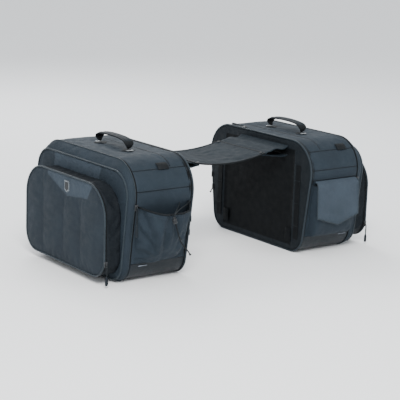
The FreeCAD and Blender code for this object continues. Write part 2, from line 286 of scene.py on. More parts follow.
def moulded(name, colour, roughness=(0.35, 0.5), grain=0.00005, coat=0.0, metal=0.0,
            worn=(0.12, 0.13, 0.14), specular=0.25):
    """Moulded, cast or painted surface: fine grain, uneven gloss and rubbed edges."""
    n = Nodes(name)
    place = n.node("TexCoord").outputs["Object"]
    broad = n.node("TexNoise", {"Vector": place, "Scale": 90.0, "Detail": 3.0}).outputs[0]
    fine = n.node("TexNoise", {"Vector": place, "Scale": 1400.0, "Detail": 2.0}).outputs[0]
    tone = n.mix_colour(n.ramp(broad, 0.3, 0.7), scaled(colour, 0.8), scaled(colour, 1.2))
    n.finish({"Base Color": n.mix_colour(n.edges(0.35), tone, worn + (1.0,)),
              "Roughness": n.ramp(broad, 0.3, 0.7, *roughness), "Metallic": metal,
              "Coat Weight": coat, "Specular IOR Level": specular})
    n.bump(fine, grain, 0.5)
    return n.material


make_camera()
make_stage()

SHELL = woven("shell_nylon", (0.0155, 0.0233, 0.0318), thread=1.1)
BASE = woven("base_nylon", (0.0060, 0.0098, 0.0140), thread=1.5, roughness=(0.36, 0.50),
             sheen=0.01, contrast=0.2, specular=0.25)
ACCENT = woven("accent_nylon", (0.034, 0.047, 0.062), thread=0.8, contrast=0.2)
BACK = woven("back_nylon", (0.0032, 0.0042, 0.0052), thread=1.3, sheen=0.0, specular=0.10)
# Border nylon: a lighter copy of the back nylon, as painted light on the shaded inner face.
BORDER_PAINTED_LIGHT = woven("border_nylon", (0.0075, 0.0105, 0.0135), thread=1.1, sheen=0.01)
# Gusset nylon: the shell nylon darkened as painted shade, for side walls that sit in the gaps.
SHADED_GUSSET = woven("gusset_nylon", (0.0060, 0.0085, 0.0115), thread=0.8, sheen=0.0)
COVER = woven("cover_nylon", (0.0145, 0.0208, 0.0280), thread=1.4)
YOKE = woven("yoke_nylon", (0.0105, 0.0160, 0.0210), thread=1.2, specular=0.09)
LINING = woven("lining", (0.055, 0.060, 0.066), thread=0.5)
WEBBING = ribbed("webbing", (0.0065, 0.0080, 0.0095))
PIPING = ribbed("piping_cloth", (0.0230, 0.0320, 0.0400), pitch=1.0, roughness=0.42)
DARK_PIPING = ribbed("dark_piping", (0.0045, 0.0062, 0.0080), pitch=1.0, roughness=0.5)
TAPE = ribbed("zipper_tape", (0.0030, 0.0038, 0.0046), pitch=1.2)
CORD = braided("cord_braid", (0.0090, 0.0115, 0.0135))
THREAD = moulded("thread", (0.022, 0.030, 0.038), roughness=(0.5, 0.65))
COIL = moulded("zipper_coil", (0.0050, 0.0060, 0.0070), roughness=(0.25, 0.35))
GRIP = moulded("grip_rubber", (0.0100, 0.0140, 0.0180), roughness=(0.6, 0.75), grain=0.00012,
               worn=(0.05, 0.06, 0.07), specular=0.14)
PLASTIC = moulded("lock_plastic", (0.0060, 0.0070, 0.0085), roughness=(0.3, 0.42))
STEEL = moulded("rivet_steel", (0.26, 0.28, 0.30), roughness=(0.25, 0.4), metal=1.0,
                worn=(0.5, 0.5, 0.5))
ENAMEL = moulded("slider_enamel", (0.010, 0.012, 0.014), roughness=(0.25, 0.4), metal=0.6,
                 coat=0.2, worn=(0.14, 0.14, 0.15))
PLATE = moulded("badge_plate", (0.16, 0.18, 0.20), roughness=(0.25, 0.4), metal=0.7, coat=0.2)
RECESS = moulded("badge_recess", (0.006, 0.008, 0.010), roughness=(0.4, 0.5))
REFLECTOR = moulded("reflective_strip", (0.22, 0.25, 0.30), roughness=(0.25, 0.35))
BOARD = moulded("board_plastic", (0.01, 0.01, 0.01), roughness=(0.5, 0.6), worn=(0.05,) * 3)


# ---- shape helpers ----
def placed(points):
    """Left bag's (u, y, z) in millimetres to the row frame in metres."""
    p = np.asarray(points, float)
    return np.stack([-(HALF_GAP + p[..., 0]), p[..., 1], p[..., 2]], -1) * MM


def at_depth(u, flat):
    """Points of a panel's (y, z), at one u or at one u each."""
    flat = np.asarray(flat, float)
    return placed(np.column_stack([np.broadcast_to(u, len(flat)), flat]))


OUT_OF_BAG = np.array([-1.0, 0.0, 0.0])
UP = np.array([0.0, 0.0, 1.0])
MIDDLE = placed([80, 0, 140])
BASE_STEPS, LOW_STEPS, SIDE_STEPS, HIGH_STEPS, TOP_STEPS = 26, 14, 30, 26, 25


def unit(vector):
    v = np.asarray(vector, float)
    return v / np.linalg.norm(v, axis=-1, keepdims=True)


def arc_points(corner, back, ahead, radius, steps):
    half = math.acos(float(back @ ahead)) / 2
    reach = radius / math.tan(half)
    centre = corner + unit(back + ahead) * radius / math.sin(half)
    first = (corner + back * reach - centre) / radius
    last = (corner + ahead * reach - centre) / radius
    total = math.acos(float(first @ last))
    share = np.linspace(0, 1, steps + 1)[:, None]
    normals = (np.sin((1 - share) * total) * first + np.sin(share * total) * last) / math.sin(total)
    return centre + radius * normals, normals


def half_ring(half_low, half_high, low, high, r_low, r_high):
    """From the middle of the base up the -y side to the middle of the top: (y, z) and normals."""
    rise = unit([half_low - half_high, high - low])
    level = np.array([1.0, 0.0])
    low_p, low_n = arc_points(np.array([-half_low, low]), level, rise, r_low, LOW_STEPS)
    high_p, high_n = arc_points(np.array([-half_high, high]), -rise, level, r_high, HIGH_STEPS)
    base = np.linspace([0.0, low], low_p[0], BASE_STEPS + 1)[:-1]
    side = np.linspace(low_p[-1], high_p[0], SIDE_STEPS + 1)[1:-1]
    top = np.linspace(high_p[-1], [0.0, high], TOP_STEPS + 1)[1:]
    points = np.concatenate([base, low_p, side, high_p, top])
    normals = np.concatenate([np.tile([0.0, -1.0], (len(base), 1)), low_n,
                              np.tile([-rise[1], rise[0]], (len(side), 1)), high_n,
                              np.tile([0.0, 1.0], (len(top), 1))])
    return points, normals


def whole_ring(*sizes):
    """The closed outline, its last point on its first, and its normals."""
    return [np.concatenate([half, (half * (-1.0, 1.0))[-2::-1]]) for half in half_ring(*sizes)]


def bag_sizes(side=0.0, top=0.0, bottom=0.0, side_low=None):
    side_low = side if side_low is None else side_low
    low, high = bottom, BAG_HEIGHT - top
    return (BASE_HALF + SLOPE * low - side_low, BASE_HALF + SLOPE * high - side, low, high,
            BASE_RADIUS - max(side_low, bottom), SHOULDER_RADIUS - max(side, top))


def pocket_sizes(inset=0.0):
    return (177 - inset, 176 - inset, 18 + inset, 229 - inset, 47 - inset, 75 - inset)


def ring_row(u, sizes, lift=0.0):
    """One row of (u, y, z) round the outline, moved out by lift."""
    points, normals = whole_ring(*sizes)
    return np.column_stack([np.full(len(points), u), points + normals * lift])


def ring_normals(sizes):
    """Outward directions round the outline, in the row frame."""
    normals = whole_ring(*sizes)[1]
    return np.column_stack([np.zeros(len(normals)), normals])


def panel_outline(sizes):
    """Every second point of the outline, for a flat panel's edge."""
    return whole_ring(*sizes)[0][:-1][::2]


def end_point(sign, u, z, out):
    """Over an end wall: at height z on the wall, then out along its normal."""
    u, z, out = np.broadcast_arrays(np.asarray(u, float), z, out)
    y = BASE_HALF + SLOPE * z + out * math.cos(SLOPE_ANGLE)
    return np.stack([u, sign * y, z - out * math.sin(SLOPE_ANGLE)], -1)


def new_object(name, vertices, faces, material, weave=None):
    vertices = np.asarray(vertices, float).reshape(-1, 3)
    mesh = bpy.data.meshes.new(name)
    mesh.from_pydata([tuple(v) for v in vertices], [], faces)
    mesh.update()
    weave = vertices if weave is None else np.reshape(weave, (len(vertices), -1))
    flat = np.zeros((len(vertices), 3), np.float32)
    flat[:, :weave.shape[1]] = weave
    mesh.attributes.new("weave", "FLOAT_VECTOR", "POINT").data.foreach_set("vector", flat.ravel())
    mesh.materials.append(material)
    mesh.shade_smooth()
    return linked(name, mesh)


def lengths(p, axis=0):
    """Length along points from the first of them."""
    steps = np.linalg.norm(np.diff(p, axis=axis), axis=-1)
    return np.concatenate([0 * np.take(steps, [0], axis), np.cumsum(steps, axis)], axis)


def face_away(thing, centre=MIDDLE):
    """Turns the faces so that most of them look away from the point."""
    centre = Vector(centre)
    if sum((p.center - centre).dot(p.normal) * p.area for p in thing.data.polygons) < 0:
        thing.data.flip_normals()
    return thing


def grid(name, rows, material, centre=MIDDLE):
    """A sheet through rows of points in metres. Its cloth coordinates are lengths along it."""
    p = np.asarray(rows, float)
    count, width = p.shape[:2]
    weave = np.stack(np.broadcast_arrays(lengths(p, 1).mean(0), lengths(p).mean(1)[:, None]), -1)
    faces = [(i * width + j, i * width + j + 1, (i + 1) * width + j + 1, (i + 1) * width + j)
             for i in range(count - 1) for j in range(width - 1)]
    return face_away(new_object(name, p, faces, material, weave), centre)


def read(thing, what="co"):
    """The vertices' places, or their normals."""
    flat = np.zeros(len(thing.data.vertices) * 3, np.float32)
    thing.data.vertices.foreach_get(what, flat)
    return flat.reshape(-1, 3).astype(float)


def write(thing, points):
    thing.data.vertices.foreach_set("co", np.asarray(points, np.float32).ravel())
    thing.data.update()


def evaluated(thing):
    return thing.evaluated_get(bpy.context.evaluated_depsgraph_get())


CLOTH = {"quality": 6, "mass": 0.3, "tension_stiffness": 20, "compression_stiffness": 20,
         "shear_stiffness": 8, "air_damping": 2, "use_pressure": True}


def relax(thing, pinned, pressure=2.0, slack=0.0, gravity=0.0, cap=8.0, frames=20, bend=0.6):
    """Cloth simulation with its result applied: pinned points stay, others move cap mm at most."""
    scene = bpy.context.scene
    rest = read(thing)
    group = thing.vertex_groups.new(name="pin")
    group.add([int(i) for i in np.flatnonzero(pinned)], 1.0, "REPLACE")
    modifier = thing.modifiers.new("cloth", "CLOTH")
    settings = modifier.settings
    for name, value in CLOTH.items():
        setattr(settings, name, value)
    settings.bending_stiffness = bend
    settings.uniform_pressure_force = pressure
    settings.shrink_min = settings.shrink_max = -slack
    settings.vertex_group_mass = "pin"
    settings.effector_weights.gravity = gravity
    modifier.collision_settings.use_collision = False
    modifier.point_cache.frame_start = 1
    modifier.point_cache.frame_end = frames
    for number in range(1, frames + 1):
        scene.frame_set(number)
    step = read(evaluated(thing)) - rest
    thing.modifiers.remove(modifier)
    thing.vertex_groups.remove(group)
    scene.frame_set(1)
    size = np.maximum(np.linalg.norm(step, axis=1), 1e-12)[:, None]
    limit = cap * MM
    write(thing, rest + step / size * limit * np.tanh(size / limit))


def rumple(points, normals, depth, scale, seed):
    """Soft dents and folds, from layered noise, along the normals."""
    shift = Vector((seed * 3.7, seed * 1.3, seed * 2.1))
    lift = [noise.noise(Vector(p) / (scale * MM) + shift)
            + 0.5 * noise.noise(Vector(p) / (scale * 0.45 * MM) + shift * 2) for p in points]
    return points + np.asarray(lift)[:, None] * normals * depth * MM


def dent(thing, share, depth, scale, seed, normals=None, swell=0.0):
    """Rumples the piece by a share for each point: 0 where it is sewn down, 1 where it is free."""
    share = np.reshape(share, (-1, 1))
    normals = read(thing, "normal") if normals is None else normals
    points = read(thing) + normals * share * swell * MM
    write(thing, points + (rumple(points, normals, depth, scale, seed) - points) * share)


def ends_of(rows, sides=True):
    """Marks the first and last rows of a grid, and the ends of its rows."""
    pinned = np.zeros(rows.shape[:2], bool)
    pinned[[0, -1]] = True
    if sides:
        pinned[:, [0, -1]] = True
    return pinned


def repaint(thing, material, chosen):
    """Gives a second material to the faces whose (y, z) middles are chosen."""
    thing.data.materials.append(material)
    middles = np.array([(p.center.y, p.center.z) for p in thing.data.polygons]) / MM
    for face, yes in zip(thing.data.polygons, chosen(middles)):
        face.material_index = int(yes)


def surface(thing):
    """A tree of the piece's faces with its modifiers applied, for laying things on it."""
    mesh = evaluated(thing).data
    return BVHTree.FromPolygons([tuple(v.co) for v in mesh.vertices],
                                [tuple(p.vertices) for p in mesh.polygons])


def laid(tree, path, out, lift=0.15, reach=12.0):
    """The path's points moved along out onto the surface, lift mm clear of it."""
    path = np.asarray(path, float)
    points = []
    for point, away in zip(path, np.broadcast_to(np.asarray(out, float), path.shape)):
        away = Vector(away).normalized()
        hit = tree.ray_cast(Vector(point) + away * reach * MM, -away, 2 * reach * MM)[0]
        points.append(Vector(point) if hit is None else hit + away * lift * MM)
    return np.array(points)


def soften(thing):
    modifier = thing.modifiers.new("round", "SUBSURF")
    modifier.levels = modifier.render_levels = 1
    return thing


def thicken(thing, thickness, offset=-1.0, lining=None):
    """Gives a sheet its thickness. Its inner side is in the lining material, where given."""
    modifier = thing.modifiers.new("thickness", "SOLIDIFY")
    modifier.thickness = thickness * MM
    modifier.offset = offset
    if lining is not None:
        thing.data.materials.append(lining)
        modifier.material_offset = len(thing.data.materials) - 1
        modifier.material_offset_rim = 0
    return thing


def bevelled(thing, width):
    modifier = thing.modifiers.new("edges", "BEVEL")
    modifier.width = width * MM
    modifier.segments = 3
    return thing


def frames_along(path, closed):
    """Tangents and two cross directions that don't twist, for points along a line."""
    p = np.asarray(path, float)
    ahead = np.roll(p, -1, 0) - np.roll(p, 1, 0)
    if not closed:
        ahead[0], ahead[-1] = p[1] - p[0], p[-1] - p[-2]
    tangents = unit(ahead)
    seed = UP if abs(tangents[0][2]) < 0.9 else -OUT_OF_BAG
    sides = [unit(seed - tangents[0] * (seed @ tangents[0]))]
    for t in tangents[1:]:
        sides.append(unit(sides[-1] - t * (sides[-1] @ t)))
    sides = np.array(sides)
    return tangents, sides, np.cross(tangents, sides)


def tube(name, path, radius, material, closed=False, sides=10):
    """A round tube along points in metres. Open ends are rounded."""
    p = np.asarray(path, float)
    tangents, a, b = frames_along(p, closed)
    radii = np.full(len(p), radius * MM)
    along = lengths(p)
    if not closed:
        caps = np.array([(-0.9, 0.35), (-0.55, 0.8)])
        push = caps[:, :1] * radius * MM
        p = np.concatenate([p[0] + tangents[0] * push, p, p[-1] - tangents[-1] * push[::-1]])
        a, b = (np.concatenate([[v[0]] * 2, v, [v[-1]] * 2]) for v in (a, b))
        ends = caps[:, 1] * radius * MM
        radii = np.concatenate([ends, radii, ends[::-1]])
        along = np.concatenate([[0, 0], along, [along[-1]] * 2])
    angle = np.linspace(0, 2 * math.pi, sides, endpoint=False)
    ring = np.cos(angle)[None, :, None] * a[:, None] + np.sin(angle)[None, :, None] * b[:, None]
    vertices = p[:, None] + ring * radii[:, None, None]
    count = len(p)
    faces = []
    for i in range(count if closed else count - 1):
        k = (i + 1) % count
        for j in range(sides):
            m = (j + 1) % sides
            faces.append((i * sides + j, i * sides + m, k * sides + m, k * sides + j))
    if not closed:
        faces.append(tuple(range(sides))[::-1])
        faces.append(tuple((count - 1) * sides + j for j in range(sides)))
    weave = np.stack(np.broadcast_arrays(along[:, None], angle[None] * radii.max()), -1)
    return new_object(name, vertices, faces, material, weave)


def resample(path, pitch):
    """Points one pitch apart along a line, their lengths along it and those of its own points."""
    p = np.asarray(path, float)
    own = lengths(p)
    at = np.linspace(0, own[-1], max(2, int(own[-1] / (pitch * MM))))
    return np.stack([np.interp(at, own, p[:, k]) for k in range(3)], -1), at, own


class Grains:
    """Many small rounded blocks in one mesh: stitches and zipper teeth."""

    def __init__(self):
        self.vertices, self.faces, self.count = [], [], 0

    def add(self, centres, long, up, half_length, half_width, half_height):
        wide = np.cross(long, up)
        start, n = self.count, len(centres)
        for share, size in ((-1, 0.5), (-0.6, 1.0), (0.6, 1.0), (1, 0.5)):
            for a, b in ((-0.8, -0.8), (0.8, -0.8), (1.0, 0.2), (0, 1.0), (-1.0, 0.2)):
                self.vertices.append(centres + (long * half_length * share
                                                + wide * half_width * a * size
                                                + up * half_height * b * size) * MM)
        for i in range(n):
            for s in range(3):
                for j in range(5):
                    k = (j + 1) % 5
                    self.faces.append(tuple(start + (s + d) * 5 * n + q * n + i
                                            for d, q in ((0, j), (0, k), (1, k), (1, j))))
            self.faces.append(tuple(start + j * n + i for j in range(5))[::-1])
            self.faces.append(tuple(start + (15 + j) * n + i for j in range(5)))
        self.count += 20 * n

    def row(self, path, up, pitch, half_length, half_width, half_height, across=False):
        """Blocks along a path in metres, their long side along it or across it."""
        centres, at, own = resample(path, pitch)
        ahead = unit(np.gradient(centres, axis=0))
        up = np.asarray(up, float)
        if up.ndim == 2:
            up = np.stack([np.interp(at, own, up[:, k]) for k in range(3)], -1)
        up = unit(up - ahead * (up * ahead).sum(1)[:, None])
        long = np.cross(up, ahead) if across else ahead
        self.add(centres, long, up, half_length, half_width, half_height)

    def stitch(self, path, up, tree=None):
        """A sewn line, laid on a surface where one is given."""
        path = path if tree is None else laid(tree, path, up)
        self.row(path, up, 3.2, 1.15, 0.32, 0.3)

    def make(self, name, material):
        return new_object(name, np.concatenate(self.vertices), self.faces, material)


shared = []


def keep(thing, body, slot, replaces=(), padded=None, sheet=None, near=False, bend=None):
    """Notes what a left-hand piece rides on and stands for. Its twin is made at the end.

    bend is for fabric that crosses a joint: the other body, and two points in the left bag. Such a
    piece has its modifiers applied and stays in place, following no body; the other body and the
    points are not used."""
    shared.append((thing, body, slot, replaces, padded, sheet, near, bend))


def settle(thing, body, replaces, bend, side):
    if bend is None:
        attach(thing, body + "_" + side)
    else:
        bake(thing)
        other, start, end = bend
        turn = 1 if side == "left" else -1
        start, end = (tuple(placed(p) * (turn, turn, 1)) for p in (start, end))
        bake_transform(thing)
    if replaces:
        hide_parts(*[node + "_" + side for node in replaces])


def bake(thing):
    """Applies the piece's modifiers to its mesh."""
    view = bpy.context.evaluated_depsgraph_get()
    mesh = bpy.data.meshes.new_from_object(thing.evaluated_get(view), depsgraph=view)
    thing.modifiers.clear()
    thing.data = mesh


def twin(thing, near=False):
    """The right bag's copy: half a turn about Z, or for the near end a mirror image."""
    copy = thing.copy()
    copy.data = thing.data.copy()
    if near:
        copy.data.transform(Matrix.Scale(-1, 4, (1, 0, 0)))
        copy.data.flip_normals()
    else:
        copy.data.transform(Matrix.Rotation(math.pi, 4, "Z"))
    copy.name = thing.name.replace("_left", "_right")
    bpy.context.scene.collection.objects.link(copy)
    return copy


def lofted(name, rings, material, centre, sharp, weave=None, first_turn=-1):
    """A skin over a row of rings, closed at both ends. first_turn is the first end's facing."""
    rings = np.asarray(rings, float)
    count, sides = rings.shape[:2]
    faces = [(i * sides + j, i * sides + (j + 1) % sides,
              (i + 1) * sides + (j + 1) % sides, (i + 1) * sides + j)
             for i in range(count - 1) for j in range(sides)]
    faces += [tuple(range(sides))[::first_turn],
              tuple((count - 1) * sides + j for j in range(sides))]
    thing = face_away(new_object(name, rings, faces, material, weave), centre)
    thing.data.set_sharp_from_angle(angle=math.radians(sharp))
    return thing


STRIP_SECTION = ((-0.5, 0), (-0.47, 0.5), (0, 0.6), (0.47, 0.5), (0.5, 0), (0.47, -0.5),
                 (0, -0.6), (-0.47, -0.5))


def strip(name, path, across, width, thickness, material):
    """A flat strip along a path in metres. across is its width direction."""
    p = np.asarray(path, float)
    across = unit(np.broadcast_to(np.asarray(across, float), p.shape))
    up = np.cross(unit(np.gradient(p, axis=0)), across)
    widths = np.broadcast_to(np.asarray(width, float), (len(p),))[:, None]
    rings = np.stack([p + across * widths * a * MM + up * thickness * b * MM
                      for a, b in STRIP_SECTION], 1)
    over = np.array([a for a, _ in STRIP_SECTION]) * np.max(width) * MM
    weave = np.stack(np.broadcast_arrays(lengths(p)[:, None], over), -1)
    return lofted(name, rings, material, p.mean(0), 50, weave)


def webbing(name, path, across, width, thickness, body, replaces=(), material=WEBBING,
            slot="webbing"):
    keep(strip(name, path, across, width, thickness, material), body, slot, replaces)


def turned(centre, up, seed, profile, sides=24):
    """Rings about the up direction, for (height, radius) in millimetres."""
    side = unit(np.cross(up, seed))
    turns = np.linspace(0, 2 * math.pi, sides, endpoint=False)[:, None]
    ring = np.cos(turns) * side + np.sin(turns) * np.cross(up, side)
    return np.array([centre + (up * height + ring * radius) * MM for height, radius in profile])


def inside(points, polygon):
    """Which of the (y, z) points lie inside the polygon."""
    p, q = np.asarray(points, float), np.asarray(polygon, float)
    found = np.zeros(len(p), bool)
    for a, b in zip(q, np.roll(q, -1, 0)):
        crosses = (a[1] > p[:, 1]) != (b[1] > p[:, 1])
        slope = np.where(b[1] == a[1], 1e-9, b[1] - a[1])
        found ^= crosses & (p[:, 0] < (b[0] - a[0]) * (p[:, 1] - a[1]) / slope + a[0])
    return found


def line_points(*corners, step=5.0):
    """Points along straight runs between corners."""
    points = []
    for a, b in zip(corners, corners[1:]):
        count = max(1, round(math.dist(a, b) / step))
        points += [tuple(np.array(a) + (np.array(b) - np.array(a)) * i / count)
                   for i in range(count)]
    return points + [tuple(corners[-1])]


def smooth_line(points, count=60):
    """A curve through control points, by Catmull-Rom."""
    p = np.asarray(points, float)
    p = np.concatenate([[2 * p[0] - p[1]], p, [2 * p[-1] - p[-2]]])
    at = np.linspace(0, len(p) - 3 - 1e-9, count)
    k = at.astype(int)
    t = (at - k)[:, None]
    a, b, c, d = p[k], p[k + 1], p[k + 2], p[k + 3]
    return 0.5 * (2 * b + (c - a) * t + (2 * a - 5 * b + 4 * c - d) * t ** 2
                  + (3 * b - a - 3 * c + d) * t ** 3)


def to_nearest(points, others):
    """From each flat point, the distance to the nearest of the others."""
    others = np.array(others)
    return np.array([np.min(np.hypot(*(others - q).T)) for q in points])


def filled(outline, lines=(), step=6.0):
    """Even triangles inside an outline. Returns points, faces and whether each is on a seam."""
    points = [tuple(p) for p in outline]
    edges = [(i, (i + 1) % len(points)) for i in range(len(points))]
    for line in lines:
        start = len(points)
        points += line
        edges += [(start + i, start + i + 1) for i in range(len(line) - 1)]
    low, high = np.min(points, 0), np.max(points, 0)
    lattice = []
    row = 0
    z = low[1] + step * 0.5
    while z < high[1]:
        ys = np.arange(low[0] + step * (0.5 if row % 2 else 0.0), high[0], step)
        lattice += [(y, z) for y in ys]
        z += step * 0.866
        row += 1
    lattice = np.array(lattice)
    lattice = lattice[inside(lattice, outline)]
    lattice = lattice[to_nearest(lattice, points) > step * 0.55]
    everything = [Vector(p) for p in points] + [Vector(p) for p in lattice]
    made = geometry.delaunay_2d_cdt(everything, edges, [list(range(len(outline)))], 1, 1e-4)
    out = np.array([tuple(v) for v in made[0]])
    return out, [tuple(f) for f in made[2]], to_nearest(out, points) < 0.01


def flat_panel(name, u, flat, faces, material):
    return face_away(new_object(name, at_depth(u, flat), faces, material, flat * MM))


# ---- body of the bag ----
stitches = {name: Grains() for name in ("bag", "lid", "cover", "flap", "yoke")}
coils = {name: Grains() for name in ("bag", "lid")}
ENDS = {-1: "bottle", 1: "flap"}


def shell():
    """One lofted wrap of padded nylon, from the inner ring to the main zipper."""
    us = np.linspace(2.5, BODY_DEPTH - 0.5, 32)
    seam_row = int(np.argmin(abs(us - TOP_SEAM_U)))
    us[seam_row] = TOP_SEAM_U
    sizes = bag_sizes(1.2, 1.2, 0.3)
    rows = np.array([ring_row(u, sizes) for u in us])
    normals = ring_normals(sizes)
    height = rows[0][:, 2]

    def column(sign, z):
        return int(np.argmin(np.where(rows[0][:, 1] * sign > 0, abs(height - z), 1e9)))

    end_seams = [(sign, z) for sign in ENDS
                 for z in (BASE_SEAM,) + END_SEAMS + ((FLAP_SEAM,) if sign > 0 else ())]
    sewn = sorted(column(sign, z) for sign, z in end_seams if z > BASE_SEAM)
    top = np.flatnonzero(height > END_SEAMS[1])
    pinned = ends_of(rows, sides=False)
    pinned[:, height <= BASE_SEAM] = True
    pinned[:, sewn] = True
    pinned[seam_row, top] = True
    for y in (-HANDLE_BASE, HANDLE_BASE):
        near_anchor = np.hypot(rows[..., 0] - HANDLE_U, rows[..., 1] - y) < 24
        pinned |= near_anchor & (rows[..., 2] > BAG_HEIGHT - 5)
    thing = grid("shell_left", placed(rows), SHELL)
    dent(thing, ~pinned, 0.6, 85, 1, np.tile(normals, (len(us), 1)), swell=0.8)
    relax(thing, pinned, pressure=3.0, slack=0.004, cap=4.0, frames=18, bend=1.2)
    repaint(thing, BASE, lambda middles: middles[:, 1] < BASE_SEAM)
    thicken(soften(thing), 1.2, lining=LINING)
    keep(thing, "bag", "shell_fabric",
         ("base_panel", "top_panel", "end_panel_bottle", "end_panel_flap"), padded=0.45)
    lie = read(thing).reshape(rows.shape)
    tree = surface(thing)
    for j in sewn:
        for beside in (j - 1, j + 1):
            line = (lie[1:-1, j] + lie[1:-1, beside]) / 2
            stitches["bag"].stitch(line, normals[j], tree)
    for beside in (seam_row - 1, seam_row + 1):
        line = (lie[seam_row, top] + lie[beside, top]) / 2
        stitches["bag"].stitch(line, normals[top], tree)
    keep(tube("top_seam_left", lie[seam_row, top] + normals[top] * 0.1 * MM, 1.0, DARK_PIPING),
         "bag", "shell_fabric")
    for sign, z in end_seams:
        j = column(sign, z)
        keep(tube("end_seam_%s_%d_left" % (ENDS[sign], z), lie[:, j] + normals[j] * 0.1 * MM, 0.8,
                  DARK_PIPING), "bag", "shell_fabric")
    for sign, u_low, u_high in ((-1, 112, 134), (1, 124, 148)):
        line = end_point(sign, np.linspace(u_low, u_high, 14), BASE_SEAM - 4, 0.6)
        keep(tube("reflector_%s_left" % ENDS[sign], placed(line), 0.8, REFLECTOR), "bag",
             "shell_fabric")


def ring_tube(name, u, sizes, lift, radius, material, body):
    """Piping all round the outline."""
    path = placed(ring_row(u, sizes, lift))[:-1]
    keep(tube(name, path, radius, material, closed=True), body, "shell_fabric")


def zipper(name, u_low, u_high, sizes, lift, body, start_z=0.0, replaces=()):
    """Tape in a shallow groove above start_z, with a coil of teeth down its middle."""
    dips = (0.0, -0.9, -1.1, -0.9, 0.0)
    us = np.linspace(u_low, u_high, len(dips))
    rows = np.array([ring_row(u, sizes, lift + dip) for u, dip in zip(us, dips)])
    above = rows[0][:, 2] >= start_z
    normals = ring_normals(sizes)[above]
    keep(thicken(grid(name, placed(rows[:, above]), TAPE), 0.8), body, "zipper", replaces)
    middle = placed(rows[2][above]) + normals * 0.3 * MM
    coils[body].row(middle, normals, 1.5, 1.25, 0.5, 0.75, across=True)


def back_panel():
    """Near-black inner face: a recessed middle between two padded borders."""
    outline = panel_outline(bag_sizes(2.0, 2.0, 2.0))
    border, low, high = 140.0, 16, 262
    lines = [line_points((y, low), (y, high)) for y in (-border, border)]
    lines += [line_points((-border, z), (border, z))[1:-1] for z in (high, low)]
    flat, faces, seam = filled(outline, lines, step=7.0)
    in_middle = ((abs(flat[:, 0]) < border - 0.5) & (flat[:, 1] > low + 0.5)
                 & (flat[:, 1] < high - 0.5))
    edge = to_nearest(flat, outline) < 0.1
    u = np.where(edge, 1.8, np.where(in_middle, 2.6, 0.4))
    thing = flat_panel("inner_face_left", u, flat, faces, BACK)
    relax(thing, seam | edge | in_middle, pressure=3.0, slack=0.01, cap=2.6, frames=14)
    # The borders take the lighter copy of the back nylon: painted light where this face is in
    # shade.
    repaint(thing, BORDER_PAINTED_LIGHT, lambda middles: ((abs(middles[:, 0]) > border)
                                            | (middles[:, 1] <= low) | (middles[:, 1] >= high)))
    keep(soften(thicken(thing, 1.5)), "bag", "back_fabric", ("back_panel",), padded=0.3)
    for y in (-border - 3, border + 3):
        stitches["bag"].stitch(at_depth(0.0, line_points((y, 20), (y, 258))), -OUT_OF_BAG)
    ring_tube("inner_piping_left", 1.6, bag_sizes(), -0.4, 2.3, PIPING, "bag")
    ring_tube("inner_cord_left", 5.2, bag_sizes(), -0.2, 1.3, DARK_PIPING, "bag")
    zipper("inner_zipper_left", 6.6, 11.4, bag_sizes(), -0.1, "bag", BASE_SEAM)


def back_details():
    """Upright webbing on the borders, two edge loops and two stow slots."""
    for k, y in enumerate((-158.0, 158.0)):
        line = [(-1.0, y, z) for z in np.linspace(36, 226, 30)]
        webbing("back_webbing_%d_left" % k, placed(line), (0, 1, 0), 18, 1.4, "bag",
                ("back_straps",) if k == 0 else (), material=BACK, slot="back_fabric")
        for z in (70, 128, 186):
            stitches["bag"].stitch(placed([(-2.0, y - 7, z), (-2.0, y + 7, z)]), -OUT_OF_BAG)
    for k, z in enumerate((106.0, 139.0)):
        y = BASE_HALF + SLOPE * z
        line = [(0.2 - 2.34 * math.cos(a), -(y - 3) - 5 * math.sin(a), z)
                for a in np.linspace(-math.pi / 2, math.pi / 2, 12)]
        webbing("edge_loop_%d_left" % k, placed(line), (0, 0, 1), 15, 1.2, "bag")
    low, high = 24, 58
    for k, y in enumerate((-128.0, 128.0)):
        line = [(-0.4 - 0.9 * math.sin(math.pi * (z - low) / (high - low)), y, z)
                for z in np.linspace(low, high, 10)]
        webbing("stow_tab_%d_left" % k, placed(line), (0, 1, 0), 22, 1.4, "bag", material=BACK,
                slot="back_fabric")


def lash_loops():
    """Flat webbing loops sewn over the shoulder, one at each end."""
    shoulder = BAG_HEIGHT - SHOULDER_RADIUS
    middle = BASE_HALF + SLOPE * shoulder - SHOULDER_RADIUS + 0.7
    first, last = math.radians(43), math.radians(57)
    for sign, u in ((-1, 72.0), (1, 118.0)):
        line = []
        for turn in np.linspace(first, last, 9):
            radius = SHOULDER_RADIUS + 0.6 + 1.6 * math.sin(math.pi * (turn - first)
                                                            / (last - first))
            line.append((u, sign * (middle + radius * math.cos(turn)),
                         shoulder + radius * math.sin(turn)))
        webbing("lash_loop_%s_left" % ENDS[sign], placed(line), (1, 0, 0), 30, 1.6, "bag",
                ("lash_loops",) if sign < 0 else ())
        normal = np.array([0, sign * math.cos(0.87), math.sin(0.87)])
        for du in (-13, 13):
            ends = placed([(u + du, *line[1][1:]), (u + du, *line[-2][1:])])
            stitches["bag"].stitch(ends + normal * 1.6 * MM, normal)


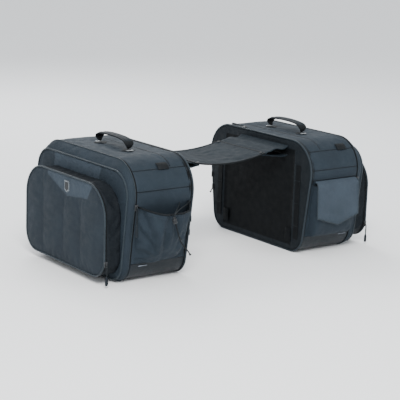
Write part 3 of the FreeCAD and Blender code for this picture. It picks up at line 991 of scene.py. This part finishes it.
# ---- handle ----
def handle():
    """Webbing that folds up from its anchors, with a ribbed moulded grip over its middle."""
    rise = [(1, 5.6), (-4, 10), (-4.5, 17), (2, 23), (16, 26.5), (HANDLE_BASE - 20, 28.6)]
    arch = smooth_line([(y - HANDLE_BASE, z) for y, z in rise] + [(0, 29)]
                       + [(HANDLE_BASE - y, z) for y, z in rise[::-1]], 90)
    arch[:, 1] += HANDLE_FLOOR
    line = np.column_stack([np.full(len(arch), HANDLE_U), arch])
    width = 5 + 20 * np.clip((arch[:, 1] - HANDLE_FLOOR - 5.6) / 12, 0, 1) ** 0.8
    webbing("handle_webbing_left", placed(line), (1, 0, 0), width, 3.2, "handle")
    middle = line[arch[:, 1] > HANDLE_FLOOR + 20.5]
    across = np.linspace(-1, 1, 23)
    ridges = 1.1 * (np.exp(-((across - 0.45) / 0.14) ** 2) + np.exp(-((across + 0.45) / 0.14) ** 2))
    rings = []
    for i, (u, y, z) in enumerate(middle):
        share = i / (len(middle) - 1)
        end = min(share, 1 - share) * 2
        body = min(1.0, end * 7) ** 0.5
        height = (2.6 + ridges) * (0.75 + 0.25 * body)
        notch = 0.35 * max(0.0, math.cos(share * 2 * math.pi * 14)) * (end < 0.5)
        half = 12.6 * (0.93 + 0.07 * body)
        rings.append([(u + a * half, y, z + h * (1 - abs(a) ** 6 * 0.8) - notch)
                      for a, h in zip(across, height)]
                     + [(u + a * half * 0.97, y, z - 2.6 * (1 - abs(a) ** 6 * 0.6))
                        for a in across[::-1]])
    keep(lofted("handle_grip_left", placed(rings), GRIP, placed([HANDLE_U, 0, HANDLE_FLOOR + 27]),
                60), "handle", "handle_grip", ("handle",))


def round_box(name, centre, axes, sizes, bevel, material):
    """A block with rounded edges. axes are its three directions, sizes in millimetres."""
    a, b, c = unit(axes) * np.array(sizes)[:, None] / 2 * MM
    points = [centre + a * x + b * y + c * z for x in (-1, 1) for y in (-1, 1) for z in (-1, 1)]
    thing = new_object(name, points, [(0, 1, 3, 2), (4, 6, 7, 5), (0, 4, 5, 1), (2, 3, 7, 6),
                                      (0, 2, 6, 4), (1, 5, 7, 3)], material)
    thing.data.set_sharp_from_angle(angle=math.radians(70))
    return bevelled(face_away(thing, centre), bevel)


def rivet(name, centre, radius, material=STEEL):
    """A domed head with a rolled rim and a dimple."""
    dimple = 0.62
    profile = [(0.64, 0.22), (0.8, 0.34), (0.78, 0.6), (0.55, 0.85), (0.2, 1.0), (0.0, 1.0),
               (-0.15, 0.9)]
    flatness, sides = 0.6, 24
    rings = turned(centre, UP, (0.3, 0.5, 0.8), np.array(profile) * radius * (flatness, 1), sides)
    vertices = [centre + UP * dimple * radius * flatness * MM, *rings.reshape(-1, 3)]
    faces = [(0, 1 + (j + 1) % sides, 1 + j) for j in range(sides)]
    for start in range(1, 1 + (len(profile) - 1) * sides, sides):
        faces += [(start + j, start + (j + 1) % sides, start + sides + (j + 1) % sides,
                   start + sides + j) for j in range(sides)]
    faces.append(tuple(range(len(vertices) - sides, len(vertices)))[::-1])
    return face_away(new_object(name, vertices, faces, material), centre - UP * radius * MM)


def handle_anchors():
    """Stitched patches turned on their corners, with a bright bar and two rivets each."""
    top = HANDLE_FLOOR + 0.7
    for sign, end in ((-1, "near"), (1, "far")):
        y = sign * HANDLE_BASE
        patch = round_box("anchor_patch_%s_left" % end, placed([HANDLE_U, y, top]),
                          ((1, 1, 0), (1, -1, 0), (0, 0, 1)), (27, 27, 1.4), 0.6, WEBBING)
        keep(patch, "bag", "webbing", ("handle_anchors",) if sign < 0 else ())
        for inset in (15.51, 12.69):
            turns = ((inset, 0), (0, inset), (-inset, 0), (0, -inset), (inset, 0))
            square = [(HANDLE_U + a, y + b) for a, b in turns]
            path = placed([(*p, top + 0.8) for p in line_points(*square, step=2.0)])
            stitches["bag"].stitch(path, UP)
        bar = placed([HANDLE_U, y + sign * 9, top + 1.3])
        keep(round_box("anchor_bar_%s_left" % end, bar, np.eye(3), (17, 6.0, 1.2), 0.5, STEEL),
             "bag", "metal")
        for k, du in enumerate((-5.5, 5.5)):
            place = placed([HANDLE_U + du, y + sign * 9, top + 2.0])
            keep(rivet("anchor_rivet_%s_%d_left" % (end, k), place, 2.2), "bag", "metal")


# ---- lid and organiser pocket ----
LID_RING_IN = bag_sizes(1, 1)
LID_RING_OUT = bag_sizes(8, 24, 6, 3)
SLATE_SEAM = ((118, 246), (121, 222), (-78, 222), (-91, 255))
CHANNELS = ((97.0, 224), (3.0, 184), (-72.0, 185))
PATCH = ((76, 226.5), (76, 217), (-14, 181), (-103, 191), (-119, 219))
BADGE_MIDDLE = np.array([-14.0, 204.0])


def lid_band():
    """Domed padded edge from the main zipper out to the lid's piping."""
    share = np.linspace(0, 1, 11)
    inner, outer = ring_row(LID_START, LID_RING_IN), ring_row(LID_DEPTH, LID_RING_OUT)
    normals = ring_normals(LID_RING_IN)
    rows = np.array([inner * (1 - s) + outer * s for s in share])
    rows = rows + normals * (2.6 * np.sin(math.pi * share) ** 0.7)[:, None, None]
    thing = grid("lid_band_left", placed(rows), SHELL, placed([150, 0, 140]))
    pinned = ends_of(rows, sides=False)
    pinned[:, rows[0][:, 2] < 4] = True
    dent(thing, ~pinned, 0.7, 80, 4, np.tile(normals, (len(share), 1)))
    relax(thing, pinned, pressure=2.5, slack=0.002, cap=3.0, frames=14, bend=2.0)
    keep(thicken(soften(thing), 1.2), "lid", "shell_fabric", ("lid_gusset",), padded=0.5)
    ring_tube("lid_hinge_piping_left", LID_START + 0.6, LID_RING_IN, 0.2, 1.2, PIPING, "lid")
    ring_tube("lid_piping_left", LID_DEPTH + 1.4, LID_RING_OUT, 0.6, 2.3, PIPING, "lid")


def lid_face():
    """Front of the lid. The slate panel shows above the organiser pocket."""
    outline = panel_outline(bag_sizes(9, 25, 7, 4))
    flat, faces, seam = filled(outline, [line_points(*SLATE_SEAM)], step=7.0)
    behind = inside(flat, whole_ring(*pocket_sizes(6))[0][:-1])
    edge = to_nearest(flat, outline) < 0.1
    u = LID_DEPTH + np.where(edge, 1.2, np.where(behind, 1.5, 2.4))
    thing = flat_panel("lid_front_left", u, flat, faces, SHELL)
    relax(thing, seam | edge | behind, pressure=5.0, slack=0.003, cap=3.0, frames=14, bend=2.0)
    slate = SLATE_SEAM + ((-100, 290), (112, 290))
    repaint(thing, ACCENT, lambda middles: inside(middles, slate))
    keep(soften(thicken(thing, 1.5, lining=LINING)), "lid", "accent_fabric", ("lid_panel",),
         padded=0.3)
    tree = surface(thing)
    for corners in (SLATE_SEAM[1::-1], SLATE_SEAM[2:]):
        for shift in (-2.5, 2.5):
            path = at_depth(LID_DEPTH + 3.0, np.array(line_points(*corners)) + (shift, 0))
            stitches["lid"].stitch(path, OUT_OF_BAG, tree)


def organiser_band():
    """Slack side wall of the organiser pocket, folded where it has nothing in it."""
    share = np.linspace(0, 1, 9)
    us = np.linspace(LID_FACE - 1, POCKET_DEPTH - 2.6, len(share))
    rows = np.array([ring_row(u, pocket_sizes(1.0), -1.2 * math.sin(math.pi * s))
                     for u, s in zip(us, share)])
    # The side wall is in the darker gusset nylon: painted shade in the gap round the pocket.
    thing = grid("organiser_side_left", placed(rows), SHADED_GUSSET, placed([200, 0, 120]))
    pinned = ends_of(rows)
    dent(thing, ~pinned, 1.4, 40, 9, np.tile(ring_normals(pocket_sizes()), (len(us), 1)))
    relax(thing, pinned, pressure=-0.8, slack=0.05, gravity=0.6, cap=3.5, frames=18)
    keep(thicken(soften(thing), 1.2), "lid", "shell_fabric", ("organiser_gusset",), padded=0.2)
    zipper("organiser_zipper_left", POCKET_DEPTH - 3.0, POCKET_DEPTH + 0.2, pocket_sizes(), 0.0,
           "lid")


def cover():
    """Front of the organiser: soft channels and a slate patch."""
    outline = panel_outline(pocket_sizes(1.5))
    channels = [line_points((y, 23), (y, high)) for y, high in CHANNELS]
    flat, faces, seam = filled(outline, [line_points(*PATCH)] + channels)
    edge = to_nearest(flat, outline)
    u = COVER_START + 2.0 + 1.2 * np.minimum(edge / 14, 1.0)
    thing = flat_panel("organiser_front_left", u, flat, faces, COVER)
    dent(thing, ~seam, 0.35, 90, 6, OUT_OF_BAG)
    under_badge = (abs(flat - BADGE_MIDDLE) < (12, 17)).all(1)
    relax(thing, seam | (edge < 0.1) | under_badge, pressure=14.0, slack=0.006, cap=6.0,
          frames=24, bend=4.0)
    repaint(thing, ACCENT, lambda middles: inside(middles, PATCH + ((-119, 240), (76, 240))))
    keep(soften(thicken(thing, 1.5)), "cover", "shell_fabric", ("organiser_cover",), padded=0.5)
    tree = surface(thing)
    runs = [np.array(line) + (shift, 0) for line in channels for shift in (-1.8, 1.8)]
    for run in runs + [np.array(line_points(*PATCH[1:4])) + (0, 1.8)]:
        stitches["cover"].stitch(at_depth(COVER_START + 3.6, run), OUT_OF_BAG, tree)
    ring_tube("cover_piping_left", COVER_START + 2.0, pocket_sizes(), 0.2, 2.3, PIPING, "cover")


def badge():
    """A blank five-sided plate with a raised rim. It carries no mark."""
    low = COVER_START + 3.4
    outline = np.array([(-10, -8.5), (0, -15), (10, -8.5), (10, 13), (-10, 13)])
    rings = [at_depth(low + u, BADGE_MIDDLE + outline * scale)
             for scale, u in ((1.0, 0.0), (1.0, 1.5), (0.93, 2.1), (0.80, 2.1), (0.74, 1.3),
                              (0.4, 1.4))]
    # Its back faces the other way, so the bevel leaves the back edge alone.
    thing = lofted("badge_left", rings, PLATE, placed([low, *BADGE_MIDDLE]), 40, first_turn=1)
    thing.data.materials.append(RECESS)
    for face in thing.data.polygons:
        if face.center.x < placed([low + 1.2, 0, 0])[0] and face.normal.x < -0.9:
            face.material_index = int(math.dist(face.center.yz, BADGE_MIDDLE * MM) < 9 * MM)
    keep(bevelled(thing, 0.35), "cover", "badge", ("badge",))


# ---- pockets on the ends ----
# Each fold: depth in mm, place across, lean, width and height, as shares of the pocket.
POCKET_FOLDS = ((-9.0, 0.62, 0.50, 0.10, 0.62), (5.0, 0.42, 0.55, 0.11, 0.55),
                (-7.0, 0.22, 0.45, 0.09, 0.50), (4.0, 0.02, 0.30, 0.12, 0.60),
                (-5.0, -0.35, -0.35, 0.10, 0.45), (3.5, -0.60, -0.30, 0.10, 0.60))
POCKET_LEVELS = (46.0, 60.0, 88.0, 130.0, 172.0, 186.0)
POCKET_BULGES = (1.0, 12.0, 33.0, 50.0, 56.0, 55.0)


def bottle_pocket():
    """Gathered pocket, its hem pulled in by the drawcord and standing open."""
    u_low, u_high = 12.5, 150.0
    middle, half = (u_low + u_high) / 2, (u_high - u_low) / 2
    us = np.linspace(u_low, u_high, 40)
    x = (us - middle) / half
    hem = 170.0 + 13.0 * np.abs(x) ** 2.5
    form = np.clip(1 - np.abs(x) ** 3.0, 0, 1) * (1 - 0.10 * np.cos(x * math.pi) ** 2)
    rows = []
    for s in np.linspace(0, 1, 30):
        z = POCKET_LEVELS[0] + (hem - POCKET_LEVELS[0]) * s
        folds = sum(depth * np.exp(-((x - at - lean * (s - 0.5)) / wide) ** 2)
                    * math.exp(-((s - mid) / 0.28) ** 2)
                    for depth, at, lean, wide, mid in POCKET_FOLDS)
        gather = 2.0 * s * np.sin(x * 19) * (1 - x ** 2)
        out = np.interp(z, POCKET_LEVELS, POCKET_BULGES) * form + gather + folds * form + 0.6
        rows.append(np.column_stack([us, -(BASE_HALF + SLOPE * z) + 1.0 - out, z]))
    rows = np.array(rows)
    thing = grid("bottle_pocket_cloth_left", placed(rows), SHELL, placed([middle, -150, 110]))
    pinned = ends_of(rows)
    dent(thing, ~pinned, 3.2, 38, 12)
    relax(thing, pinned, pressure=-0.4, slack=0.06, gravity=1.0, cap=9.0, frames=26, bend=0.25)
    keep(thicken(soften(thing), 0.9), "bag", "shell_fabric", ("bottle_pocket",),
         sheet=((0.195, 0.14), "gathered", ("end_panel_bottle",)))
    lie = read(thing).reshape(rows.shape)
    keep(tube("bottle_hem_left", lie[-1] + UP * 0.5 * MM, 2.4, DARK_PIPING), "bag",
         "shell_fabric")
    stitches["bag"].stitch(laid(surface(thing), lie[-3], (0, -1, 0)), (0, -1, 0.1))


def nurbs_cord(name, points, radius):
    """A smooth round cord from control points in bag terms, and the points on its spline."""
    curve = bpy.data.curves.new(name, "CURVE")
    curve.dimensions = "3D"
    spline = curve.splines.new("NURBS")
    spline.points.add(len(points) - 1)
    for point, place in zip(spline.points, placed(points)):
        point.co = (*place, 1.0)
    spline.order_u = 3
    spline.use_endpoint_u = True
    spline.resolution_u = 12
    curve.materials.append(CORD)
    thing = linked(name, curve)
    bare = bpy.data.meshes.new_from_object(thing)
    line = np.array([tuple(v.co) for v in bare.vertices])
    bpy.data.meshes.remove(bare)
    curve.bevel_depth = radius * MM
    curve.bevel_resolution = 4
    curve.use_fill_caps = True
    return thing, line


def knot(name, centre, size, side):
    """A small overhand knot."""
    t = np.linspace(0, 2 * math.pi, 60, endpoint=False)
    loop = np.column_stack([np.sin(t) + 2 * np.sin(2 * t), -np.sin(3 * t),
                            np.cos(t) - 2 * np.cos(2 * t)]) * size * MM / 3
    thing = tube(name, loop + centre, size * 0.36, CORD, closed=True, sides=8)
    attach(thing, "bag_" + side)
    return thing


def drawcords():
    mirrored = [(-2 * HALF_GAP - u, -y, z) for u, y, z in CORD_ROUTE]
    for side, route in (("left", CORD_ROUTE), ("right", mirrored)):
        cord, line = nurbs_cord("drawcord_run_" + side, route, CORD_DIAMETER_M / 2 / MM)
        knots = [knot("drawcord_bead_" + side, line[round(len(line) * BEAD_SHARE)], 2.6, side),
                 knot("drawcord_end_" + side, line[-1], 2.3, side)]
        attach(cord, "bag_" + side)
        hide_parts("drawcord_" + side)


def cord_lock():
    """Barrel with ribs and a spring button, and the held cord over the hem."""
    exit_point, below = placed(CORD_ROUTE[:2])
    up = unit(exit_point - below)
    profile = [(0.0, 2.2), (0.4, 4.6), (1.4, 5.4), (3.6, 5.4), (4.0, 5.0), (4.6, 5.4), (6.6, 5.4),
               (7.0, 5.0), (7.6, 5.4), (9.6, 5.4), (10.6, 4.9), (11.0, 3.9), (11.4, 3.7),
               (13.6, 3.7), (14.6, 3.3), (15.0, 2.0)]
    keep(lofted("cord_lock_barrel_left", turned(exit_point, up, (1, 0, 0), profile), PLASTIC,
                exit_point + up * 7 * MM, 40), "bag", "lock_plastic", ("cord_lock",))
    crown = exit_point + up * 14 * MM
    over = placed([90.0, -259.5, 176.0])
    sag = -3.0 * UP * MM
    for k, (u, z, apart) in enumerate(((38.0, 184.0, -0.9), (8.0, 186.0, 0.9))):
        end = placed(end_point(-1, u, z, 1.5))
        shift = np.array([apart, 0, 0]) * MM
        line = smooth_line([crown, (crown + over) / 2 + shift, over + shift,
                            over * 0.6 + end * 0.4 + sag * 0.3, over * 0.25 + end * 0.75 + sag,
                            end], 40)
        keep(tube("held_cord_%d_left" % k, line, 1.4, CORD, sides=8), "bag", "cord")


def flap_pocket():
    """Box pocket under the flap: soft corners, a gathered gusset and an open mouth."""
    u_low, u_high = 14.0, 150.0
    corner = np.array([0.0, 0.4, 1.5, 3.5])
    us = np.concatenate([u_low + corner, np.linspace(u_low + 7, u_high - 7, 22),
                         u_high - corner[::-1]])
    form = 1 - (1 - np.minimum(np.minimum(us - u_low, u_high - us) / 7, 1)) ** 2
    heights = (46, 46.6, 48, 51, 56, 62, 72, 84, 97, 110, 124, 138, 152, 166, 176, 182.0)
    outs = np.interp(heights, (46, 46.6, 48, 51, 56, 62, 84, 110, 140, 182),
                     (0.2, 5, 9.5, 14.5, 19.5, 23, 26, 27.2, 23, 14.5))
    rows = np.array([end_point(1, us, z, np.maximum(out * form, 0.4))
                     for z, out in zip(heights, outs)])
    thing = grid("flap_pocket_cloth_left", placed(rows), SHELL, placed([82, 150, 110]))
    pinned = ends_of(rows)
    dent(thing, ~pinned, 0.9, 42, 15)
    relax(thing, pinned, pressure=1.2, slack=0.012, gravity=0.5, cap=3.0, frames=16)
    keep(thicken(soften(thing), 1.2), "bag", "shell_fabric", ("flap_pocket",), padded=0.3)
    hem = read(thing).reshape(rows.shape)[-1]
    keep(tube("flap_pocket_hem_left", hem, 1.5, DARK_PIPING), "bag", "shell_fabric")


FLAP_LEVELS = (83, 104, 178, 184, 187, 190, 193)


def on_flap(inset, top, shoulder, tip, outs):
    """A line down one side of the flap, round its tip and up again."""
    low, high, middle = 12.0 + inset, 152.0 - inset, 82.0
    line = np.array(line_points((low, top), (low, shoulder), (middle, tip), (high, shoulder),
                                (high, top), step=4.0))
    out = np.interp(line[:, 1], FLAP_LEVELS[:len(outs)], outs)
    return placed(end_point(1, line[:, 0], line[:, 1], out))


def pocket_flap():
    """Slate five-sided flap that folds down from above the pocket."""
    low, high, middle = 13.0, 151.0, 82.0
    outline = line_points((low, 193), (low, 104), (middle, 83), (high, 104), (high, 193),
                          (low, 193), step=6.0)[:-1]
    fold = line_points((low + 1, 186), (high - 1, 186), step=6.0)
    flat, faces, _ = filled(outline, [fold], step=6.5)
    out = np.interp(flat[:, 1], FLAP_LEVELS, (36.2, 32.6, 18.8, 17.4, 16.4, 11.5, 1.5))
    points = placed(end_point(1, flat[:, 0], flat[:, 1], out))
    thing = face_away(new_object("flap_left", points, faces, ACCENT, flat * MM),
                      placed([82, 100, 130]))
    edge = to_nearest(flat, outline)
    dent(thing, np.clip(edge / 20, 0, 1), 1.1, 60, 18)
    relax(thing, (edge < 0.1) | (flat[:, 1] > 185), pressure=1.0, slack=0.006, cap=2.0, frames=12)
    bend = ("bag", end_point(1, middle, 193, 1.5), end_point(1, middle, 187, 15.0))
    keep(soften(thicken(thing, 2.0)), "flap", "accent_fabric", ("pocket_flap",), padded=0.2,
         bend=bend)
    rim = on_flap(1, 190, 104, 83, (35.4, 31.8, 18.0, 16.6, 15.6, 11))
    keep(tube("flap_binding_left", rim, 1.5, PIPING), "flap", "accent_fabric", bend=bend)
    turn = np.array([0, math.cos(0.3), math.sin(0.3)])
    inner = on_flap(6, 182, 107, 89, (37.0, 33.4, 19.6, 18.2))
    stitches["flap"].stitch(inner, turn, surface(thing))


# ---- zip sliders and pulls ----
def slider(name, anchor, up, along, body, replaces=()):
    """A tapered slider with a bridge over it. Its anchor is on the teeth, in metres."""
    up, along = np.asarray(up, float), np.asarray(along, float)
    wide = np.cross(along, up)
    stations = ((-7.0, 2.4, 0.7), (-6.0, 3.4, 1.2), (-2.5, 3.7, 1.4), (1.5, 3.5, 1.4),
                (4.5, 4.4, 1.4), (6.2, 4.5, 1.2), (7.0, 3.6, 0.7))
    section = ((-1, -0.5), (-1, 0.6), (-0.75, 1), (0.75, 1), (1, 0.6), (1, -0.5), (0.75, -1),
               (-0.75, -1))
    rings = [[anchor + (along * s + up * (2.0 + high * b) + wide * half * a) * MM
              for a, b in section] for s, half, high in stations]
    keep(lofted(name, rings, ENAMEL, anchor + up * 2 * MM, 45), body, "slider_metal", replaces,
         near=True)
    arch = [anchor + (along * -4.6 * math.cos(t) + up * (3.0 + 2.3 * math.sin(t))) * MM
            for t in np.linspace(0, math.pi, 14)]
    keep(strip(name.replace("_left", "_bridge_left"), arch, wide, 2.2, 1.0, ENAMEL), body,
         "slider_metal", near=True)


def rounded(value):
    """A sine or cosine, with the circle that it makes drawn out towards a square."""
    return math.copysign(abs(value) ** 0.6, value)


def pull(name, hook, down, up, cord_length, grip_length, body):
    """A cord loop from the slider's bridge down to a ribbed moulded grip."""
    down, up = np.asarray(down, float), np.asarray(up, float)
    wide = np.cross(down, up)
    loop = [(cord_length + 2, -0.8, 0), (cord_length * 0.6, -1.1, 0.2), (4.0, -1.7, 0.1),
            (0.6, -1.3, -0.3), (-0.4, 0, -0.5), (0.6, 1.3, -0.3), (4.0, 1.7, 0.1),
            (cord_length * 0.6, 1.1, 0.2), (cord_length + 2, 0.8, 0)]
    line = smooth_line([hook + (down * s + wide * a + up * b) * MM for s, a, b in loop], 60)
    keep(tube(name.replace("_left", "_cord_left"), line, 0.8, CORD, sides=8), body, "pull_grip",
         near=True)
    profile = [(0, 1.3, 0.9), (0.5, 2.0, 1.2), (2.0, 2.5, 1.4), (3.5, 3.0, 1.6)]
    s = 5.0
    while s < grip_length - 5:
        profile += [(s, 3.8, 1.75), (s + 1.1, 3.8, 1.75), (s + 1.5, 3.4, 1.4), (s + 2.1, 3.4, 1.4),
                    (s + 2.5, 3.8, 1.75)]
        s += 3.4
    profile += [(grip_length - 2.6, 3.7, 1.7), (grip_length - 1.0, 3.1, 1.4),
                (grip_length - 0.2, 1.9, 0.9)]
    rings = [[hook + (down * (cord_length + s) + wide * half * rounded(math.cos(t))
                      + up * high * rounded(math.sin(t))) * MM
              for t in np.linspace(0, 2 * math.pi, 20, endpoint=False)]
             for s, half, high in profile]
    keep(lofted(name, rings, GRIP, hook + down * (cord_length + grip_length / 2) * MM, 50), body,
         "pull_grip", (body,), near=True)


def zip_hardware():
    """Sliders and pulls. All are at the end of the bag that the viewer is nearest."""
    tilt = np.array([0, -math.sin(SLOPE_ANGLE), math.cos(SLOPE_ANGLE)])
    wall = np.array([0, -math.cos(SLOPE_ANGLE), -math.sin(SLOPE_ANGLE)])
    hang = np.array([0, -6.6, -2.0]) * MM
    ahead = (0, -1, 0)
    slider("main_slider_body_left", placed(end_point(-1, 158.5, 184, 0.3)), wall, tilt,
           "main_slider", ("main_slider",))
    pull("main_pull_grip_left", placed(end_point(-1, 158.5, 184, 0.0)) + hang, -UP, ahead, 36.3,
         29.7, "main_pull")
    low = placed([POCKET_DEPTH, -177.0, 54.0])
    slider("pocket_slider_body_left", low, ahead, UP, "pocket_slider", ("pocket_slider",))
    pull("pocket_pull_grip_left", low + hang, -UP, ahead, 25.3, 20.7, "pocket_pull")
    slider("rear_slider_body_left", placed([9.0, 75.0, 284.6]), UP, (0, 1, 0), "bag")
    pull("rear_pull_grip_left", placed([9.0, 84.0, 288.7]), (0, 1, 0), UP, 24.0, 20.0,
         "rear_pull")


# ---- yoke between the bags ----
SIDES = (("left", -1), ("right", 1))


def yoke_height(x):
    return YOKE_MIDDLE_Z + YOKE_RISE * (x / HINGE_X) ** 2 + YOKE_TILT * (x / HINGE_X)


def on_yoke(thing, slot, *replaces):
    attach(thing, "yoke")
    if replaces:
        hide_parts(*replaces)


def over_yoke(x, y, lift):
    """Points over the yoke's middle surface, in metres."""
    x, y = np.broadcast_arrays(np.asarray(x, float), y)
    return np.stack([x, y, yoke_height(x) + lift], -1) * MM


def yoke():
    """Padded middle panel with bound edges, stitched rows and four rivets."""
    low, high = YOKE_Y - YOKE_WIDTH / 2, YOKE_Y + YOKE_WIDTH / 2
    xs = np.linspace(-103.0, 103.0, 46)
    ys = np.linspace(low + 0.8, high - 0.8, 42)
    thing = grid("yoke_top", over_yoke(xs, ys[:, None], 1.2), YOKE, (0, 0, 0))
    pinned = ends_of(np.zeros((len(ys), len(xs))))
    pinned[:, [int(np.argmin(abs(xs - at))) for at in (-90, 90)]] = True
    dent(thing, ~pinned, 0.4, 90, 3)
    relax(thing, pinned, pressure=1.5, slack=0.006, cap=2.2, frames=14)
    tree = surface(soften(thicken(thing, 2.6)))
    on_yoke(thing, "shell_fabric", "yoke_panel")
    for end, at, inset in (("near", low + 1.0, 6.0), ("far", high - 1.0, -6.0)):
        on_yoke(tube("yoke_binding_" + end, over_yoke(xs, at, 0.2), 2.0, DARK_PIPING), "webbing")
        stitches["yoke"].stitch(over_yoke(xs, at + inset, 2.3), UP, tree)
    for side, sign in SIDES:
        line = over_yoke(sign * 103.0, ys, 0.2)
        on_yoke(tube("yoke_fold_" + side, line, 1.9, DARK_PIPING), "webbing")
        for at in (88.0, 92.0):
            stitches["yoke"].stitch(over_yoke(sign * at, ys[2:-2], 1.7), UP, tree)
        for end, offset in (("near", -86.0), ("far", 86.0)):
            head = rivet("yoke_rivet_%s_%s" % (end, side),
                         over_yoke(sign * 97.0, YOKE_Y + offset, 1.9), 3.6, ENAMEL)
            first = (side, end) == ("left", "near")
            on_yoke(head, "metal", *(("yoke_rivets",) if first else ()))


def sleeves():
    """Two sheets a side, from under the yoke to the bag's inner face, open between them."""
    ys = np.linspace(YOKE_Y - YOKE_WIDTH / 2 + 1.5, YOKE_Y + YOKE_WIDTH / 2 - 1.5, 34)
    for side, sign in SIDES:
        hinge = YOKE_MIDDLE_Z + YOKE_RISE + sign * YOKE_TILT
        over_middle = hinge - 248
        under = yoke_height(sign * 100.0) - 2.8
        upper = [(98, under - 0.4), (103, under + 0.7), (107, hinge - 2.6), (112, hinge - 0.2),
                 (122, hinge + 4.4), (140, hinge + 11.0), (162, 262.5 + 0.12 * over_middle),
                 (180, 268)]
        lower = [(98, under - 2.6), (103, under - 1.8), (108, hinge - 6.2), (118, hinge - 7.2),
                 (138, 245.5 + 0.4 * over_middle), (160, 243.2 + 0.2 * over_middle), (180, 244)]
        for k, (name, line) in enumerate((("upper", upper), ("lower", lower))):
            x, z = smooth_line(line, 34).T
            rows = np.stack(np.broadcast_arrays(sign * x[:, None], ys, z[:, None]), -1) * MM
            thing = grid("sleeve_%s_%s" % (name, side), rows, YOKE, (sign * 0.14, 0, 0))
            share = np.clip((x - 112) / 20, 0, 1) * np.clip((181 - x) / 12, 0, 1)
            dent(thing, np.repeat(share, len(ys)), 1.0, 60, 21 + 4 * k + sign)
            pinned = np.repeat((x < 118) | (x > 178), len(ys))
            relax(thing, pinned, pressure=0.8 * (1 - 2 * k), slack=0.012, gravity=0.4, cap=3.0,
                  frames=14)
            bake(thicken(thing, 1.6, 0.0))
            if k == 0:
                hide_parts("yoke_sleeve_" + side)
            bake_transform(thing)


def lid_hinge():
    """Gusset between the body and the lid, below the ends of the main zipper. Its darker colour is
    painted shade for the gap.
    """
    rows = np.array([ring_row(u, bag_sizes(2.2, 2.2, 1.2))
                     for u in np.linspace(BODY_DEPTH - 1.5, LID_START + 1.0, 7)])
    near_base = rows[0][:, 2] <= BASE_SEAM + 3
    columns = np.flatnonzero(near_base[:-1])
    half = len(near_base) // 2
    order = np.concatenate([columns[columns > half], columns[columns <= half]])
    # The hinge is in the darker gusset nylon: painted shade in the gap between body and lid.
    thing = grid("lid_hinge_left", placed(rows[:, order]), SHADED_GUSSET, placed([158, 0, 60]))
    keep(thicken(thing, 0.8), "lid", "shell_fabric",
         bend=("bag", (BODY_DEPTH - 0.5, 0, 0), (LID_START, 0, 0)))


# ---- everything, in order ----
shell()
back_panel()
back_details()
lash_loops()
handle()
handle_anchors()
zipper("main_zipper_left", BODY_DEPTH - 1.0, LID_START + 0.6, bag_sizes(1.2, 1.2, 0), 0.4, "bag",
       BASE_SEAM, ("zipper_track",))
lid_band()
lid_face()
organiser_band()
cover()
badge()
bottle_pocket()
cord_lock()
flap_pocket()
pocket_flap()
zip_hardware()
lid_hinge()
for body in ("bag", "lid", "cover", "flap"):
    keep(stitches[body].make("stitches_%s_left" % body, THREAD), body, "shell_fabric")
for body in ("bag", "lid"):
    keep(coils[body].make("zipper_teeth_%s_left" % body, COIL), body, "zipper")
for thing, body, slot, replaces, padded, sheet, near, bend in shared:
    copy = twin(thing, near)
    settle(thing, body, replaces, bend, "left")
    settle(copy, body, replaces, bend, "right")
drawcords()
yoke()
sleeves()
on_yoke(stitches["yoke"].make("stitches_yoke", THREAD), "shell_fabric")

for side, _ in SIDES:
    for node in ("base_board_", "back_board_"):
        thing = bpy.data.objects[node + side]
        thing.data.materials.clear()
        thing.data.materials.append(BOARD)

bpy.context.view_layer.update()
